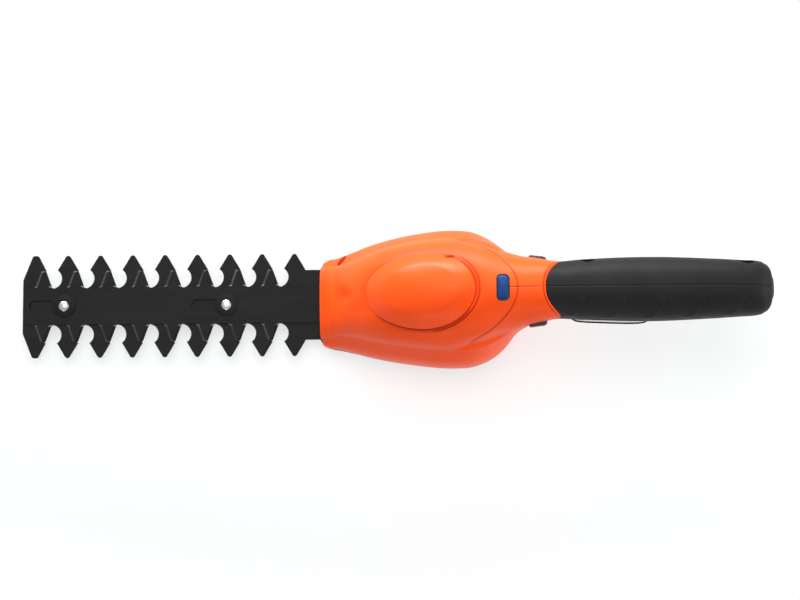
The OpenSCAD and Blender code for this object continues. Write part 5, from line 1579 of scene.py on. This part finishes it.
def seen_rays(tree):
    """One where the camera, a gloss or a see-through ray looks, zero for soft light."""
    path = add(tree, "LightPath", {})
    seen = path["Is Camera Ray"]
    for ray in ("Is Glossy Ray", "Is Transmission Ray"):
        seen = add(tree, "Math", {0: seen, 1: path[ray]}, operation="MAXIMUM")["Value"]
    return seen


def far_share(tree):
    """Share of plain white on the floor, by the distance from the tool."""
    spot = add(tree, "NewGeometry", {})["Position"]
    squeezed = add(tree, "VectorMath", {0: spot, 1: (1, FLOOR_SQUEEZE, 0)}, operation="MULTIPLY")["Vector"]
    away = add(tree, "VectorMath", {0: squeezed}, operation="LENGTH")["Value"]
    ends = {"Value": away, "From Min": FLOOR_FADE[0], "From Max": FLOOR_FADE[1]}
    return add(tree, "MapRange", ends, interpolation_type="SMOOTHSTEP")["Result"]


def floor():
    """White table that keeps the shadow near the tool and turns plain white further off."""
    material = bpy.data.materials.new("table")
    tree = blank_tree(material)
    seen = seen_rays(tree)
    strength = add(tree, "Math", {0: seen, 1: FLOOR_GLOW}, operation="MULTIPLY")["Value"]
    far = add(tree, "Math", {0: seen, 1: far_share(tree)}, operation="MULTIPLY")["Value"]
    diffuse = add(tree, "BsdfDiffuse", {"Color": (*FLOOR_TONE, 1)})["BSDF"]
    glow = add(tree, "Emission", {"Strength": strength})["Emission"]
    white = add(tree, "Emission", {})["Emission"]
    near = add(tree, "AddShader", {0: diffuse, 1: glow})["Shader"]
    choice = add(tree, "MixShader", {0: far, 1: near, 2: white})["Shader"]
    add(tree, "OutputMaterial", {"Surface": choice})
    corners = place(rounded_rect(0, 0, 2 * FLOOR_HALF, 2 * FLOOR_HALF, 0), 0, "z")
    plane = new_object("table_top", corners, [[0, 1, 2, 3]])
    plane.location.z = -FLOOR_DROP
    plane.data.materials.append(material)


def soft_box(name, spot, size, power, shadow):
    """Rectangular soft light aimed at the middle of the tool."""
    light = bpy.data.lights.new(name, "AREA")
    light.shape = "RECTANGLE"
    light.size, light.size_y = size
    light.energy = power
    light.use_shadow = shadow
    obj = linked(name, light)
    obj.location = spot
    obj.rotation_euler = (Vector(LIGHT_AIM) - Vector(spot)).to_track_quat("-Z", "Y").to_euler()


def world():
    """Even soft surroundings, which the camera and glossy surfaces see as white."""
    surroundings = bpy.data.worlds.new("studio")
    tree = blank_tree(surroundings)
    soft, seen = [add(tree, "Background", {"Color": (1, 1, 1, 1), "Strength": level})["Background"]
                  for level in (WORLD_LEVEL, WORLD_SEEN)]
    choice = add(tree, "MixShader", {0: seen_rays(tree), 1: soft, 2: seen})["Shader"]
    add(tree, "OutputWorld", {"Surface": choice})
    bpy.context.scene.world = surroundings


def camera():
    """Camera nearly straight above, leaning a little to the front of the table."""
    data = bpy.data.cameras.new("portrait")
    data.lens = LENS
    data.sensor_width = SENSOR
    data.sensor_fit = "HORIZONTAL"
    data.clip_end = CAMERA_FAR
    obj = linked("portrait", data)
    turn = Matrix.Rotation(math.radians(LEAN), 4, "X") @ Matrix.Rotation(math.radians(-ROLL), 4, "Z")
    aim, back = Matrix.Translation(Vector(AIM) * MM), Matrix.Translation((0, 0, DISTANCE * MM))
    obj.matrix_world = aim @ turn @ back
    bpy.context.scene.camera = obj


floor()
for soft_box_values in SOFT_BOXES:
    soft_box(*soft_box_values)
world()
camera()
bpy.context.scene.view_settings.view_transform = "Standard"
